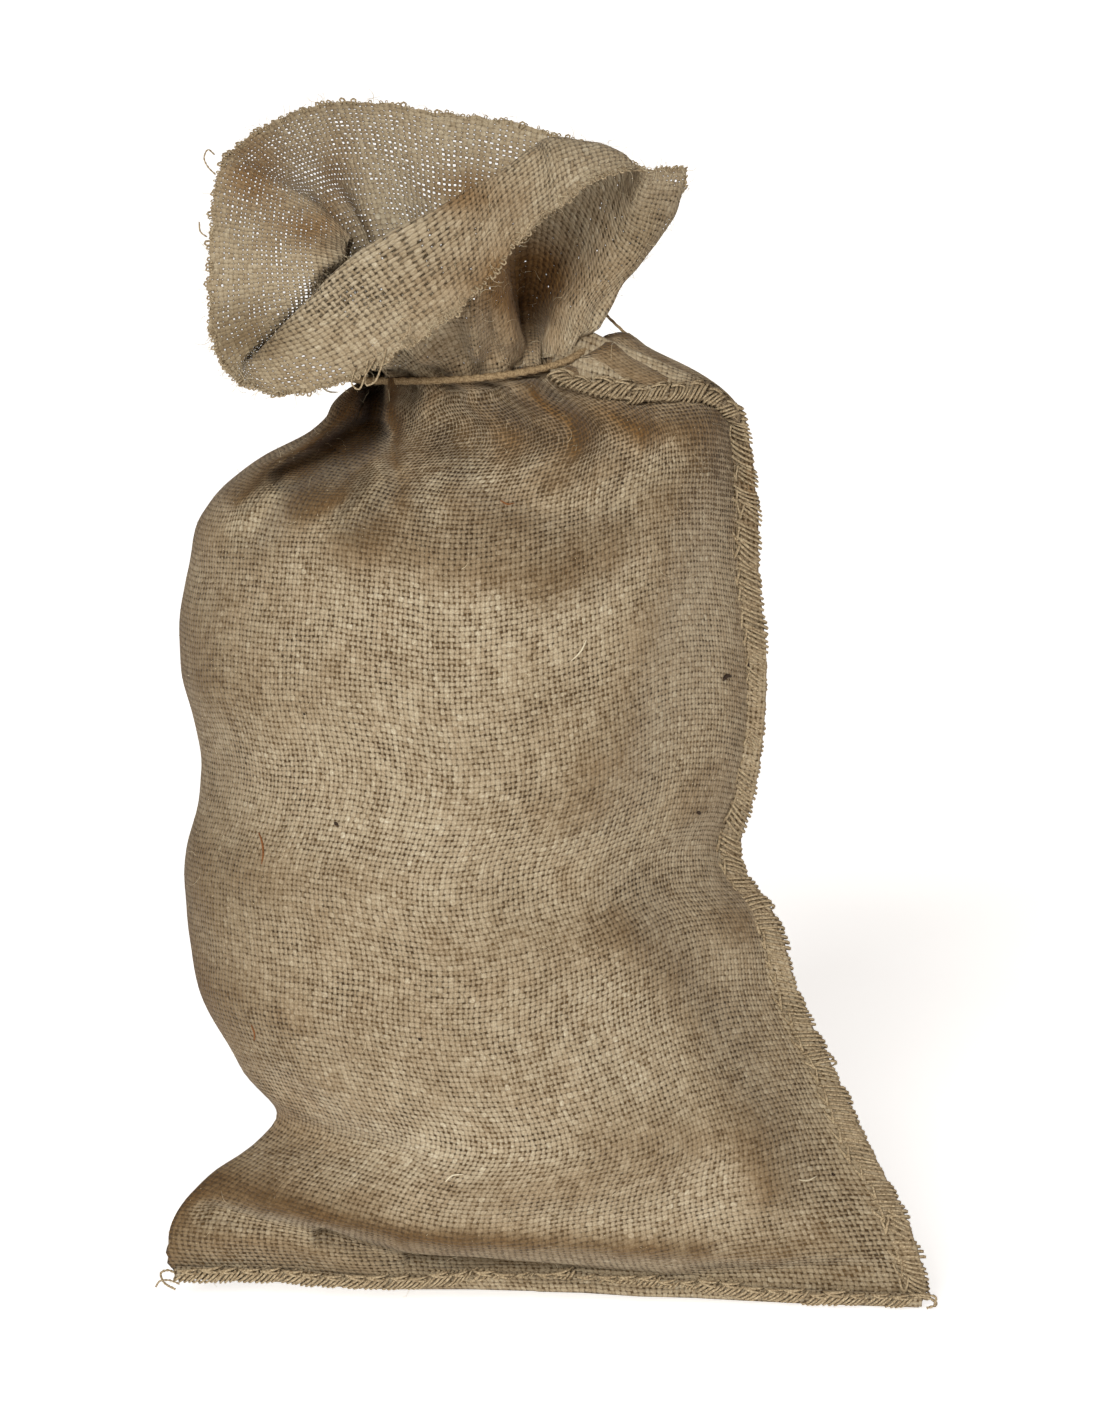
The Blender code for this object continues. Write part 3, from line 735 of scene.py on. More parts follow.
def yarn_finish(name, light, dark, streaks):
    """Twisted jute yarn: dull, with streaks along its fibres, so many a millimetre, and paler crowns."""
    surface = bpy.data.materials.new(name)
    surface.use_nodes = True
    tree = surface.node_tree
    shader = tree.nodes["Principled BSDF"]
    place = node(tree, "ShaderNodeTexCoord").outputs["Object"]
    grain = node(
        tree, "ShaderNodeTexNoise",
        inputs={"Vector": place, "Scale": streaks / MM, "Detail": 4.0, "Roughness": 0.7},
    ).outputs["Fac"]
    tone = node(tree, "ShaderNodeValToRGB", inputs={0: grain}, stops=((0.36, dark), (0.64, light)))
    bump = node(tree, "ShaderNodeBump", inputs={"Strength": 0.7, "Distance": 0.3 * MM, "Height": grain})
    tree.links.new(tone.outputs["Color"], shader.inputs["Base Color"])
    tree.links.new(bump.outputs[0], shader.inputs["Normal"])
    shader.inputs["Roughness"].default_value = 0.85
    shader.inputs["Specular IOR Level"].default_value = 0.25
    return surface


# ---------------------------------------------------------------- lines, tubes and pieces

SIDEWAYS = (0.31, 0.2, 0.93)  # a direction that no yarn here runs along
NO_CLOTH = -10.0  # the y that is taken where there is no cloth


def line_through(places, spacing):
    """Evenly spread points on a smooth line through places."""
    places = np.array(places, float)
    along = lengths(places)
    dense = np.linspace(0, along[-1], 40 * len(places))
    fine = np.stack([smooth(dense, along, places[:, k]) for k in range(3)], axis=1)
    along = lengths(fine)
    return places_at(fine, along, np.linspace(0, along[-1], max(2, round(along[-1] / spacing)) + 1))


def tube(points, radius, lobes=0, lay=1.0, deep=0.16, sides=8):
    """Vertices and faces of a tube along points; its section has lobes that turn once in lay."""
    points = np.array(points, float)
    radius = np.broadcast_to(radius, len(points))
    angle = np.linspace(0, 2 * math.pi, sides, endpoint=False)
    forward = unit(np.gradient(points, axis=0))
    side = np.cross(forward[0], SIDEWAYS)
    rings = []
    for point, ahead, along, reach in zip(points, forward, lengths(points), radius, strict=True):
        side = unit(side - ahead * (side @ ahead))
        turned = angle - 2 * math.pi * along / lay
        reach = reach * (1 - deep + deep * np.cos(lobes * turned))[:, None]
        out = np.cos(angle)[:, None] * side + np.sin(angle)[:, None] * np.cross(ahead, side)
        rings.append(point + reach * out)
    last = len(points) - 1
    faces = []
    for s in range(sides):
        n = (s + 1) % sides
        faces.extend(
            (k * sides + s, k * sides + n, (k + 1) * sides + n, (k + 1) * sides + s) for k in range(last)
        )
        faces.append((n, s, (last + 1) * sides))
        faces.append((last * sides + s, last * sides + n, (last + 1) * sides + 1))
    return np.concatenate([*rings, points[:1], points[-1:]]), faces


def mesh_of(name, parts):
    """One mesh of several lots of vertices and faces."""
    vertices, faces, start = [], [], 0
    for points, corners in parts:
        vertices.append(points)
        faces.extend(tuple(start + c for c in face) for face in corners)
        start += len(points)
    mesh = bpy.data.meshes.new(name)
    mesh.from_pydata((np.concatenate(vertices) * MM).tolist(), [], faces)
    return mesh


def grid_mesh(name, grid, across, up, closed=True):
    """A mesh over a grid of points, with the place of each on the cloth as its map."""
    rows, columns = grid.shape[:2]
    corners = []
    for low in range(0, (rows - 1) * columns, columns):
        for k in range(columns if closed else columns - 1):
            n = (k + 1) % columns
            corners.append((low + n, low + k, low + columns + k, low + columns + n))
    mesh = bpy.data.meshes.new(name)
    mesh.from_pydata((grid.reshape(-1, 3) * MM).tolist(), [], corners)
    chart = mesh.uv_layers.new(name="cloth")
    index = np.array(corners).ravel()
    u = across[index % columns]
    wrap = np.repeat((np.array(corners)[:, 0] % columns) == 0, 4) & (index % columns == 0)
    u = np.where(wrap, across[-1] + THREAD_PITCH, u) if closed else u
    v = up.reshape(-1)[index]
    chart.data.foreach_set("uv", np.stack([u, v], axis=1).ravel() * MM)
    return mesh


def add(name, mesh, surface):
    """Put a mesh in the scene as a named piece, smooth and of one material."""
    mesh.materials.clear()
    mesh.materials.append(surface)
    mesh.shade_smooth()
    piece = bpy.data.objects.new(name, mesh)
    bpy.context.scene.collection.objects.link(piece)
    return piece


def declare(piece, part):
    """Put a piece of the looks under the frame's root, and hide the solid that it stands for."""
    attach(piece, "root")
    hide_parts(part)
    return piece


def cast(tree, x, z):
    """The y of the cloth's front at places seen from in front."""
    ahead = Vector((0, 1, 0))
    hits = [tree.ray_cast(Vector((a * MM, -1.0, b * MM)), ahead)[0] for a, b in zip(x, z, strict=True)]
    return np.array([hit.y / MM if hit else NO_CLOTH for hit in hits])


# ---------------------------------------------------------------- the filled cloth


def outline(section):
    """A level line round the filled cloth, from the seam's root over the front and back behind it."""
    turn = np.linspace(0, math.pi, OUTLINE_POINTS)
    root = section["right"] - section["flange"]
    middle, half = (root + section["left"]) / 2, (root - section["left"]) / 2
    leftness = (1 - np.cos(turn)) / 2
    sharp = section["sharp_right"] + (section["sharp_left"] - section["sharp_right"]) * leftness
    thick = FLANGE_THICK / 2 * np.clip(section["flange"] / 6 - 0.15, 0.15, 1) * (leftness < 0.5)
    x = middle + half * np.cos(turn)
    z = section["height"] + section["rise"] * (1 - leftness) ** RISE_FADE
    halves = []
    for side, reach in ((-1, section["front"]), (1, section["back"])):
        depth = np.maximum(side * (reach - section["tip"]) * np.sin(turn) ** sharp, thick)
        halves.append(np.stack([x, section["tip"] + side * depth, z], axis=1))
    return np.concatenate([halves[0], halves[1][-2::-1]])


def crease_parts(place):
    """The creases by column, and for each crease how far each place round the cloth is in it, and on
    which side: falling in or coming out."""
    rows = table(CREASE_COLUMNS, CREASES)
    away = (place[None] - rows["place"][:, None]) / (rows["width"][:, None] / 2)
    cover = np.exp(-(away**4))
    side = -np.tanh(away / CREASE_SOFT)
    return rows, cover, side


def gathered(line, place, below):
    """Points of a closed line round the sack at places round the cloth: where the line is shorter than
    the cloth, the cloth is drawn into its creases. below is how far the line is under the tie."""
    along = lengths(line)
    rows, cover, side = crease_parts(place)
    cover_all = np.clip(cover.sum(axis=0), 0, 1)
    surplus = np.clip(1 - along[-1] / CLOTH_ROUND, 0, 1)
    squeeze = min(surplus / cover_all.mean(), CREASE_SQUEEZE)
    weight = 1 - squeeze * cover_all
    at = np.concatenate([[0], np.cumsum((weight[1:] + weight[:-1]) / 2)])
    at *= along[-1] / at[-1]
    points = places_at(line, along, at)
    runs = 1 - fade(below, rows["down"] * 0.25, rows["down"])
    steep = np.sqrt(np.clip(1 - weight**2, 0, 1))
    pull = (cover * side * (rows["deep"] * runs)[:, None]).sum(axis=0) * steep
    depth = np.cumsum(pull) * (place[1] - place[0])
    depth -= np.linspace(0, depth[-1], len(depth))
    return points, blurred(depth[None], 1.2)[0]


def pushed_in(points, depth):
    """A ring's points moved inwards, square to the ring, by depth."""
    around = blurred(np.gradient(points, axis=0).T, 3.0).T
    inward = np.stack([-around[:, 1], around[:, 0], np.zeros(len(points))], axis=1)
    return points - unit(inward) * depth[:, None]


def ring(section, place):
    """The points of a ring of the sack, with its seam's flange at both ends."""
    points, depth = gathered(outline(section), place, SECTIONS[-1][0] - section["height"])
    points = pushed_in(points, depth)
    run = np.linspace(1, 0, FLANGE_COLUMNS, endpoint=False)[:, None]
    out = np.array([[section["flange"], 0, 0]])
    front = points[:1] + run * out
    back = points[-1:] + run[::-1] * out
    return np.concatenate([front, points, back])


def press_folds(points):
    """Press the folds into the front of the cloth, each fading towards its end."""
    folds = table(FOLD_COLUMNS, FOLDS)
    deepest = {side: np.zeros(points.shape[:2]) for side in (-1, 1)}
    for k in range(len(FOLDS)):
        start = np.array([folds["x"][k], folds["z"][k]])
        run = np.array([folds["end_x"][k], folds["end_z"][k]]) - start
        away = points[..., [0, 2]] - start
        along = np.clip(away @ run / (run @ run), 0, 1)
        off = np.linalg.norm(away - along[..., None] * run, axis=-1) / folds["width"][k]
        side = int(np.sign(folds["depth"][k]))
        steep = FOLD_STEEP if folds["depth"][k] > FOLD_DEEP else FOLD_SOFT
        depth = abs(folds["depth"][k]) * (1 - FOLD_FADE * along) * np.exp(-(off**steep))
        deepest[side] = np.maximum(deepest[side], depth)
    pressed = points.copy()
    pressed[..., 1] += (deepest[1] - deepest[-1]) * np.clip(-points[..., 1] / FOLD_FRONT, 0, 1)
    return pressed


def set_back_corner(points):
    """The left corner of the foot stands a little back and off the floor."""
    leftness = fade(points[..., 0], -60, -155)
    low = 1 - fade(points[..., 2], 0, CORNER_TOP)
    moved = points.copy()
    moved[..., 1] += CORNER_BACK * leftness * low
    moved[..., 2] += CORNER_LIFT * leftness * low
    return moved


def foot_rise(x):
    """How far the foot's front edge is off the floor, at each x."""
    return np.interp(x, *np.array(FOOT_RISE).T)


def roll_up_foot(points):
    """The foot's front edge rolls up off the floor."""
    low = 1 - fade(points[..., 2], 0, CORNER_TOP)
    forward = fade(-points[..., 1], 0, ROLL_FROM)
    moved = points.copy()
    moved[..., 2] += foot_rise(points[..., 0]) * low * forward
    return moved


def body_grid():
    """The filled cloth's points by rows up and columns round, and each one's place on the cloth."""
    sections = table(SECTION_COLUMNS, SECTIONS)
    heights = sections["height"]
    top = heights[-1]
    low = np.linspace(0, NECK_FROM, round(NECK_FROM / RING_SPACING), endpoint=False)
    high = np.linspace(NECK_FROM, top, round((top - NECK_FROM) / NECK_SPACING) + 1)
    place = np.linspace(0, CLOTH_ROUND, COLUMNS + 1)
    rings = []
    for level in np.concatenate([low, high]):
        section = {name: smooth(level, heights, column) for name, column in sections.items()}
        rings.append(ring(section, place))
    grid = set_back_corner(roll_up_foot(press_folds(np.array(rings))))
    outward = normals(grid)
    free = fade(grid[..., 2], 4, 30) * (1 - fade(grid[..., 2], 355, 376))
    grid = grid + outward * (roughness(grid, BODY_SWELL) * free)[..., None]
    step = np.linalg.norm(np.diff(grid, axis=0), axis=2)
    up = np.concatenate([np.zeros((1, grid.shape[1])), np.cumsum(step, axis=0)])
    flange = np.linspace(FLANGE_COLUMNS * THREAD_PITCH, 0, FLANGE_COLUMNS, endpoint=False)
    across = np.concatenate([-flange, place, CLOTH_ROUND + flange[::-1]])
    return grid, across, blurred(up, 9.0)


def close_ends(mesh, columns, rows):
    """Close the body's foot and its top, each with a fan to its middle."""
    form = bmesh.new()
    form.from_mesh(mesh)
    form.verts.ensure_lookup_table()
    chart = form.loops.layers.uv["cloth"]
    foot, top = ([form.verts[start + k] for k in range(columns)] for start in (0, (rows - 1) * columns))
    for loop, flip, dip in ((foot, False, 0.0), (top, True, -6.0)):
        middle = sum((v.co for v in loop), Vector()) / columns
        pole = form.verts.new(middle + Vector((0, 0, dip * MM)))
        for k in range(columns):
            pair = [loop[k], loop[(k + 1) % columns]]
            face = form.faces.new((*(pair[::-1] if flip else pair), pole))
            face.smooth = True
            for corner in face.loops:
                corner[chart].uv = corner.vert.co.xy
    form.to_mesh(mesh)
    form.free()


def make_body(surface):
    """The filled cloth, from the foot to the tie."""
    grid, across, up = body_grid()
    mesh = grid_mesh("sack_body", grid, across, up)
    close_ends(mesh, grid.shape[1], grid.shape[0])
    # painted shade in the hollows of the cloth
    painted(mesh, sunk=hollows(grid))
    body = declare(add("sack_body", mesh, surface), "sack")
    return grid, across, up


# ---------------------------------------------------------------- sewing yarn and fibres


def scatter(name, places, ahead, outward, pattern, surface, size, seed):
    """Copies of a pattern at places, its Z along ahead and its X along outward, as one mesh. size is the
    least and the most that a copy is scaled by."""
    points = bpy.data.meshes.new(name)
    points.from_pydata((np.array(places) * MM).tolist(), [], [])
    for label, vectors in (("ahead", ahead), ("outward", outward)):
        held = points.attributes.new(label, "FLOAT_VECTOR", "POINT")
        held.data.foreach_set("vector", np.array(vectors, float).ravel())
    base = bpy.data.objects.new(name, points)
    shape = bpy.data.objects.new(f"{name}_pattern", pattern)
    tree = bpy.data.node_groups.new(name, "GeometryNodeTree")
    for label, kind in (
        ("Places", "NodeSocketGeometry"), ("Pattern", "NodeSocketObject"), ("Least", "NodeSocketFloat"),
        ("Most", "NodeSocketFloat"), ("Seed", "NodeSocketInt"),
    ):
        tree.interface.new_socket(label, in_out="INPUT", socket_type=kind)
    tree.interface.new_socket("Sewn", in_out="OUTPUT", socket_type="NodeSocketGeometry")
    given = node(tree, "NodeGroupInput").outputs
    turn = None
    for axis, pivot, label in (("Z", "AUTO", "ahead"), ("X", "Z", "outward")):
        vector = node(tree, "GeometryNodeInputNamedAttribute", {"data_type": "FLOAT_VECTOR"}, {"Name": label})
        turn = node(
            tree, "FunctionNodeAlignRotationToVector", {"axis": axis, "pivot_axis": pivot},
            {"Vector": vector.outputs["Attribute"], **({"Rotation": turn} if turn else {})},
        ).outputs[0]
    scale = node(
        tree, "FunctionNodeRandomValue", {"data_type": "FLOAT"},
        {2: given["Least"], 3: given["Most"], "Seed": given["Seed"]},
    ).outputs[1]
    drawn = node(tree, "GeometryNodeObjectInfo", inputs={"Object": given["Pattern"]}).outputs["Geometry"]
    copies = node(
        tree, "GeometryNodeInstanceOnPoints", inputs={
            "Points": given["Places"], "Instance": drawn, "Rotation": turn, "Scale": scale,
        },
    ).outputs[0]
    whole = node(tree, "GeometryNodeRealizeInstances", inputs={0: copies}).outputs[0]
    whole = node(tree, "GeometryNodeSetMaterial", inputs={"Geometry": whole, "Material": surface}).outputs[0]
    node(tree, "NodeGroupOutput", inputs={0: whole})
    bpy.context.scene.collection.objects.link(base)
    bpy.context.scene.collection.objects.link(shape)
    modifier = base.modifiers.new("scatter", "NODES")
    modifier.node_group = tree
    wanted = {"Pattern": shape, "Least": size[0], "Most": size[1], "Seed": seed}
    for item in tree.interface.items_tree:
        if item.in_out == "INPUT" and item.name in wanted:
            modifier[item.identifier] = wanted[item.name]
    mesh = bpy.data.meshes.new_from_object(base.evaluated_get(bpy.context.evaluated_depsgraph_get()))
    mesh.name = name
    for scratch in (base, shape):
        bpy.data.objects.remove(scratch)
    return mesh


# One overlock stitch, round a seam's edge: Z is along the seam, X out from the cloth and -Y the front.
# Its strands lie side by side, so one line of points serves them all, from the chain at its root over
# the front and the edge. The chain's two strands cross the root.
WRAP = (
    (-8.8, -1.8, 3.4), (-5.8, -2.8, 1.8), (-2.2, -2.9, -0.4), (0.2, -1.5, -1.9), (0.6, 0.2, -2.5),
    (-0.6, 1.9, -2.2), (-4.0, 2.7, -0.4), (-8.4, 2.2, 2.6),
)
WRAP_WIDE = 9.0  # the seam's width that the stitch is drawn for
STRANDS = ((3.2, -0.1), (1.1, 0.3), (-1.0, 0.4), (-3.2, 0.1))  # along the seam, and how far out
CHAIN = (
    ((-10.2, -1.8, 5.0), (-9.9, -3.1, 2.4), (-8.7, -3.0, -0.8), (-8.4, -1.7, -3.0)),
    ((-7.0, -2.0, 5.0), (-7.3, -3.2, 2.4), (-8.2, -3.2, -0.8), (-8.4, -1.7, -3.0)),
)


def sewn(name, edge, outward, surface, width, seed):
    """Overlock stitches of two loose plies along a seam's edge, which is a line of points."""
    along = lengths(edge)
    at = np.arange(STITCH / 2, along[-1] - STITCH / 3, STITCH)
    places, out = (places_at(line, along, at) for line in (edge, outward))
    rng = np.random.default_rng(seed)
    ahead = unit(np.gradient(places, axis=0)) + rng.normal(0, 0.1, places.shape)
    wraps = [np.array(WRAP) + (bulge, 0, shift) for shift, bulge in STRANDS]
    strands = [line_through(np.array(strand) * (width / WRAP_WIDE, 1, 1), 1.8) for strand in (*wraps, *CHAIN)]
    pattern = mesh_of(f"{name}_stitch", [tube(strand, YARN / 2, 2, 4.5, 0.22, 6) for strand in strands])
    wobble = rng.normal(0, 1, places.shape) * (0.4, 0.2, 0.5)
    mesh = scatter(name, places + wobble, ahead, out, pattern, surface, (0.86, 1.12), seed)
    declare(add(name, mesh, surface), "sack")
    line = line_through(edge[::2] - 0.9 * unit(outward[::2]), 1.4)
    rolled = 1.25 + 0.25 * np.sin(lengths(line) / STITCH * 2 * math.pi)
    edging = mesh_of(f"{name}_edge", [tube(line, rolled, 4, 9.0, 0.22, 16)])
    declare(add(f"{name}_edge", edging, surface), "sack")


def strip(name, spine, outward, width, thick, surface):
    """A folded strip of cloth along a line, reaching outward from it by width, closed all round."""
    outward = unit(outward)
    through = unit(np.cross(np.gradient(spine, axis=0), outward))
    turn = np.linspace(0, 2 * math.pi, 24, endpoint=False)
    flat = np.sign(np.cos(turn)) * np.abs(np.cos(turn)) ** 0.6
    reach = np.broadcast_to(width, len(spine))[:, None] * (flat + 1) / 2
    high = thick / 2 * np.sin(turn)[None]
    grid = spine[:, None] + reach[..., None] * outward[:, None] - high[..., None] * through[:, None]
    across = lengths(grid[len(grid) // 2])
    mesh = grid_mesh(name, grid, across, np.repeat(lengths(spine)[:, None], len(across), axis=1))
    form = bmesh.new()
    form.from_mesh(mesh)
    bmesh.ops.holes_fill(form, edges=[edge for edge in form.edges if edge.is_boundary])
    bmesh.ops.recalc_face_normals(form, faces=form.faces)
    form.to_mesh(mesh)
    form.free()
    painted(mesh)
    return declare(add(name, mesh, surface), "sack")


def sew_side(grid, yarn):
    """The overlocked edge of the side seam's flange."""
    edge = (grid[:, 0] + grid[:, -1]) / 2
    out = grid[:, 0] - grid[:, FLANGE_COLUMNS]
    rows = (edge[:, 2] > SIDE_SEAM[0]) & (edge[:, 2] < SIDE_SEAM[1])
    sewn("side_stitches", edge[rows], out[rows], yarn, 9.0, 3)


def sew_foot(tree, cloth, yarn):
    """The seam along the foot's front edge."""
    x = np.linspace(*FOOT_SEAM_ENDS, 40)
    z = FOOT_SEAM_HIGH + foot_rise(x) + CORNER_LIFT * fade(x, -60, -155)
    y = cast(tree, np.clip(x, -FOOT_CORNER, FOOT_CORNER), z) - 2.0
    foot = line_through(np.stack([x, y, z], axis=1), 4.0)
    down = np.repeat([[0.0, 0.2, -1.0]], len(foot), axis=0)
    strip("foot_seam", foot, down, FOOT_SEAM_WIDE, SEAM_STRIP_THICK, cloth)
    sewn("foot_stitches", foot + down * (FOOT_SEAM_WIDE - 0.4), down, yarn, FOOT_SEAM_WIDE, 5)


def sew_shoulder(tree, cloth, yarn):
    """The seam that rolls over the right shoulder: a fold of cloth, overlocked where it hangs in front."""
    rows = table(ROLL_COLUMNS, SHOULDER_ROLL)
    at = np.linspace(0, 1, 40)
    lines = []
    for part, off in (("top", 1.0), ("low", 4.0)):
        x, z = rows[f"{part}_x"], rows[f"{part}_z"]
        line = line_through(np.stack([x, cast(tree, x, z) - off, z], axis=1), 3.0)
        lines.append(places_at(line, lengths(line) / lengths(line)[-1], at))
    ridge, hem = lines
    strip("shoulder_roll", ridge, hem - ridge, np.linalg.norm(hem - ridge, axis=1), SEAM_STRIP_THICK, cloth)
    sewn("shoulder_stitches", hem, hem - ridge, yarn, 5.6, 9)


# Long loops that have come out of the mouth's edge, and yarn ends at the foot's corners: how thick,
# and the places that each runs through.
LONG_LOOPS = (
    (
        1.0, (-62, -85, 391), (-64, -87, 384), (-67, -87.5, 378), (-69.5, -87, 377), (-70, -86, 382),
        (-69, -85, 387),
    ),
    (0.9, (-66, -86, 388), (-70, -88, 381), (-73, -88, 375.5), (-75, -87.5, 377), (-74, -86.5, 384)),
    (0.9, (-57, -86, 394), (-54, -88, 397), (-52.5, -88, 401), (-55, -87, 403), (-58, -86, 400)),
    (0.8, (-133, -6, 456), (-136, -6, 459), (-137.5, -7, 463), (-136, -7, 466), (-133.5, -5, 464)),
    (0.8, (-135, -30, 432), (-137.5, -31, 434), (-138, -31, 438)),
    (0.8, (-11, -74, 431), (-8, -77, 436), (-5, -76, 441), (0, -73, 444)),
    (1.5, (146, -60, 5), (151, -62, 7), (156, -61, 5.5), (158, -59, 2.8), (154, -60, 1.6)),
    (1.4, (147, -63, 8), (153, -64, 8), (157.5, -62, 6.5), (157, -61, 3)),
    (1.2, (-150, -46, 12), (-154, -45, 13.5), (-157, -44, 12), (-156, -44, 8.5), (-151, -47, 6)),
    (1.0, (-149, -50, 9), (-153, -48, 10), (-157.5, -46, 9), (-159, -45, 6.5)),
)

# A small loop of weft at the woven edge, and a hair of jute: Z is ahead and X out from the cloth.
LOOP = ((-2.4, 0, -1.0), (0.2, 0.2, -1.2), (1.2, 0, -0.2), (0.9, -0.2, 0.9), (-2.2, 0, 1.2))
LOOP_STEP = THREAD_PITCH * 1.06
HAIR = ((0, 0, -0.4), (0.3, 0.2, 0.9), (1.3, 0.1, 2.0), (2.7, -0.4, 2.6), (3.9, -0.2, 2.4))
HAIR_THICK = 0.15


def fringe(grid, yarn):
    """The small loops of weft that stand out along the mouth's woven edge, and the long ones."""
    parts = [tube(line_through(run, 0.9), thick / 2, 2, 3.6, 0.25, 8) for thick, *run in LONG_LOOPS]
    declare(add("long_loops", mesh_of("long_loops", parts), yarn), "sack")
    rim = grid[-1]
    along = lengths(rim)
    at = np.arange(1.0, along[-1] - 1.0, LOOP_STEP)
    places, out = (places_at(line, along, at) for line in (rim, rim - grid[-3]))
    ahead = np.gradient(places, axis=0)
    rng = np.random.default_rng(21)
    places = places + rng.normal(0, 0.35, places.shape)
    out = out + rng.normal(0, 0.5, out.shape)
    pattern = mesh_of("rim_loop", [tube(LOOP, 0.5, sides=5)])
    mesh = scatter("mouth_loops", places, ahead, out, pattern, yarn, (0.35, 0.95), 4)
    declare(add("mouth_loops", mesh, yarn), "sack")


def fuzz(name, places, outward, surface, size, seed):
    """Fine stray fibres, each a bent hair that lies near the cloth."""
    rng = np.random.default_rng(seed)
    hair = line_through(HAIR, 1.1)
    taper = np.linspace(1.1, 0.5, len(hair))
    pattern = mesh_of(f"{name}_hair", [tube(hair, HAIR_THICK / 2 * taper, sides=3)])
    lie = rng.normal(0, 1, places.shape)
    mesh = scatter(name, places, outward + 0.75 * lie, lie[::-1], pattern, surface, size, seed)
    declare(add(name, mesh, surface), "sack")


# Loose bits that lie on the cloth: how thick, and the places on its front that each runs through.
LOOSE_BITS = {
    "dark_bark": (
        (0.8, (-83.6, 203.6), (-82.2, 202.4)), (0.7, (-50.4, 119.4), (-49.2, 118.4)),
        (0.8, (61.2, 201.0), (62.4, 199.8)), (0.7, (115.8, 55.0), (116.8, 53.8)),
        (0.9, (71.6, 253.0), (73.4, 254.6), (75.0, 254.0)),
        (0.5, (82.4, 260.0), (82.6, 256.4), (83.4, 254.0)),
        (0.5, (30, 336), (30.8, 335.2)), (0.5, (-12, 92), (-11.2, 91.4)), (0.5, (-96, 246), (-95.2, 245.6)),
    ),
    "red_fibre": (
        (0.45, (-114.8, 196.0), (-113.6, 193.4), (-112.8, 188.6), (-113.4, 184.2)),
        (0.4, (-118.4, 118.0), (-117.2, 114.6), (-117.4, 111.0)),
        (0.4, (-18, 330), (-15, 328.6), (-12.4, 329)),
    ),
    "pale_wisp": (
        (0.35, (102, 54.6), (105.8, 53.6), (109.4, 54.4)), (0.35, (10, 268), (13.6, 271.4), (16, 276)),
        (0.3, (-40, 60), (-37.4, 62.6), (-33, 63.4)), (0.35, (-92, 372), (-88, 369), (-84, 368.6)),
    ),
}
LOOSE_TINTS = {
    "dark_bark": ("#3f2f22", "#1e1712"),
    "red_fibre": ("#8c5a32", "#5e3a20"),
    "pale_wisp": ("#d9cfb8", "#bfb294"),
}


def loose_bits(tree):
    """Bits of bark and odd fibres, where the cloth shows them."""
    for kind, bits in LOOSE_BITS.items():
        surface = yarn_finish(kind, *LOOSE_TINTS[kind], 1.5)
        parts = []
        for thick, *run in bits:
            x, z = np.array(run, float).T
            line = line_through(np.stack([x, cast(tree, x, z) - thick * 0.6, z], axis=1), 0.8)
            parts.append(tube(line, thick * np.sin(np.linspace(0.5, math.pi - 0.4, len(line))), sides=6))
        declare(add(kind, mesh_of(kind, parts), surface), "sack")


# ---------------------------------------------------------------- the open cloth over the tie


def mouth_lines(neck):
    """The knots of a line from each place of the neck's ring up the open cloth, level by level."""
    rows = table(MOUTH_COLUMNS, MOUTH)
    turn = np.linspace(0, 360, 721)
    rim = np.stack([smooth(turn, rows["angle"], rows[f"edge_{axis}"], 360) for axis in "xyz"], axis=1)
    angle = np.interp(np.linspace(0, 1, len(neck)), lengths(rim) / lengths(rim)[-1], turn)
    knots = [neck]
    for level in MOUTH_LEVELS:
        axes = [smooth(angle, rows["angle"], rows[f"{level}_{axis}"], 360) for axis in "xyz"]
        knots.append(np.stack(axes, axis=1))
    return np.array(knots)


def mouth_sheet(knots, part):
    """The open cloth before its creases: points on its lines, at the same parts of each line's length."""
    steps = np.linalg.norm(np.diff(knots, axis=0), axis=2)
    along = np.concatenate([np.zeros((1, knots.shape[1])), np.cumsum(steps, axis=0)])
    sheet = np.empty((len(part), knots.shape[1], 3))
    for k in range(knots.shape[1]):
        for axis in range(3):
            sheet[:, k, axis] = smooth(part * along[-1, k], along[:, k], knots[:, k, axis])
    return sheet


def pleats(sheet, above):
    """How deep the creases draw the open cloth in, at each of its points."""
    step = CLOTH_ROUND / (sheet.shape[1] - 1)
    share = np.linspace(0, 1, sheet.shape[1])
    crease, cover, side = crease_parts(share * CLOTH_ROUND)
    narrow = np.linalg.norm(np.gradient(sheet, axis=1), axis=2) / step
    steep = np.sqrt(np.clip(1 - narrow**2, 0, 1))
    pull = np.zeros(sheet.shape[:2])
    for k in range(len(CREASES)):
        runs = (1 - fade(above, 0.4 * crease["up"][k], crease["up"][k])) * crease["deep_up"][k]
        pull += runs * (cover[k] * side[k])[None] * steep
    depth = np.cumsum(pull, axis=1) * step
    return blurred(depth - share[None] * depth[:, -1:], 1.2)


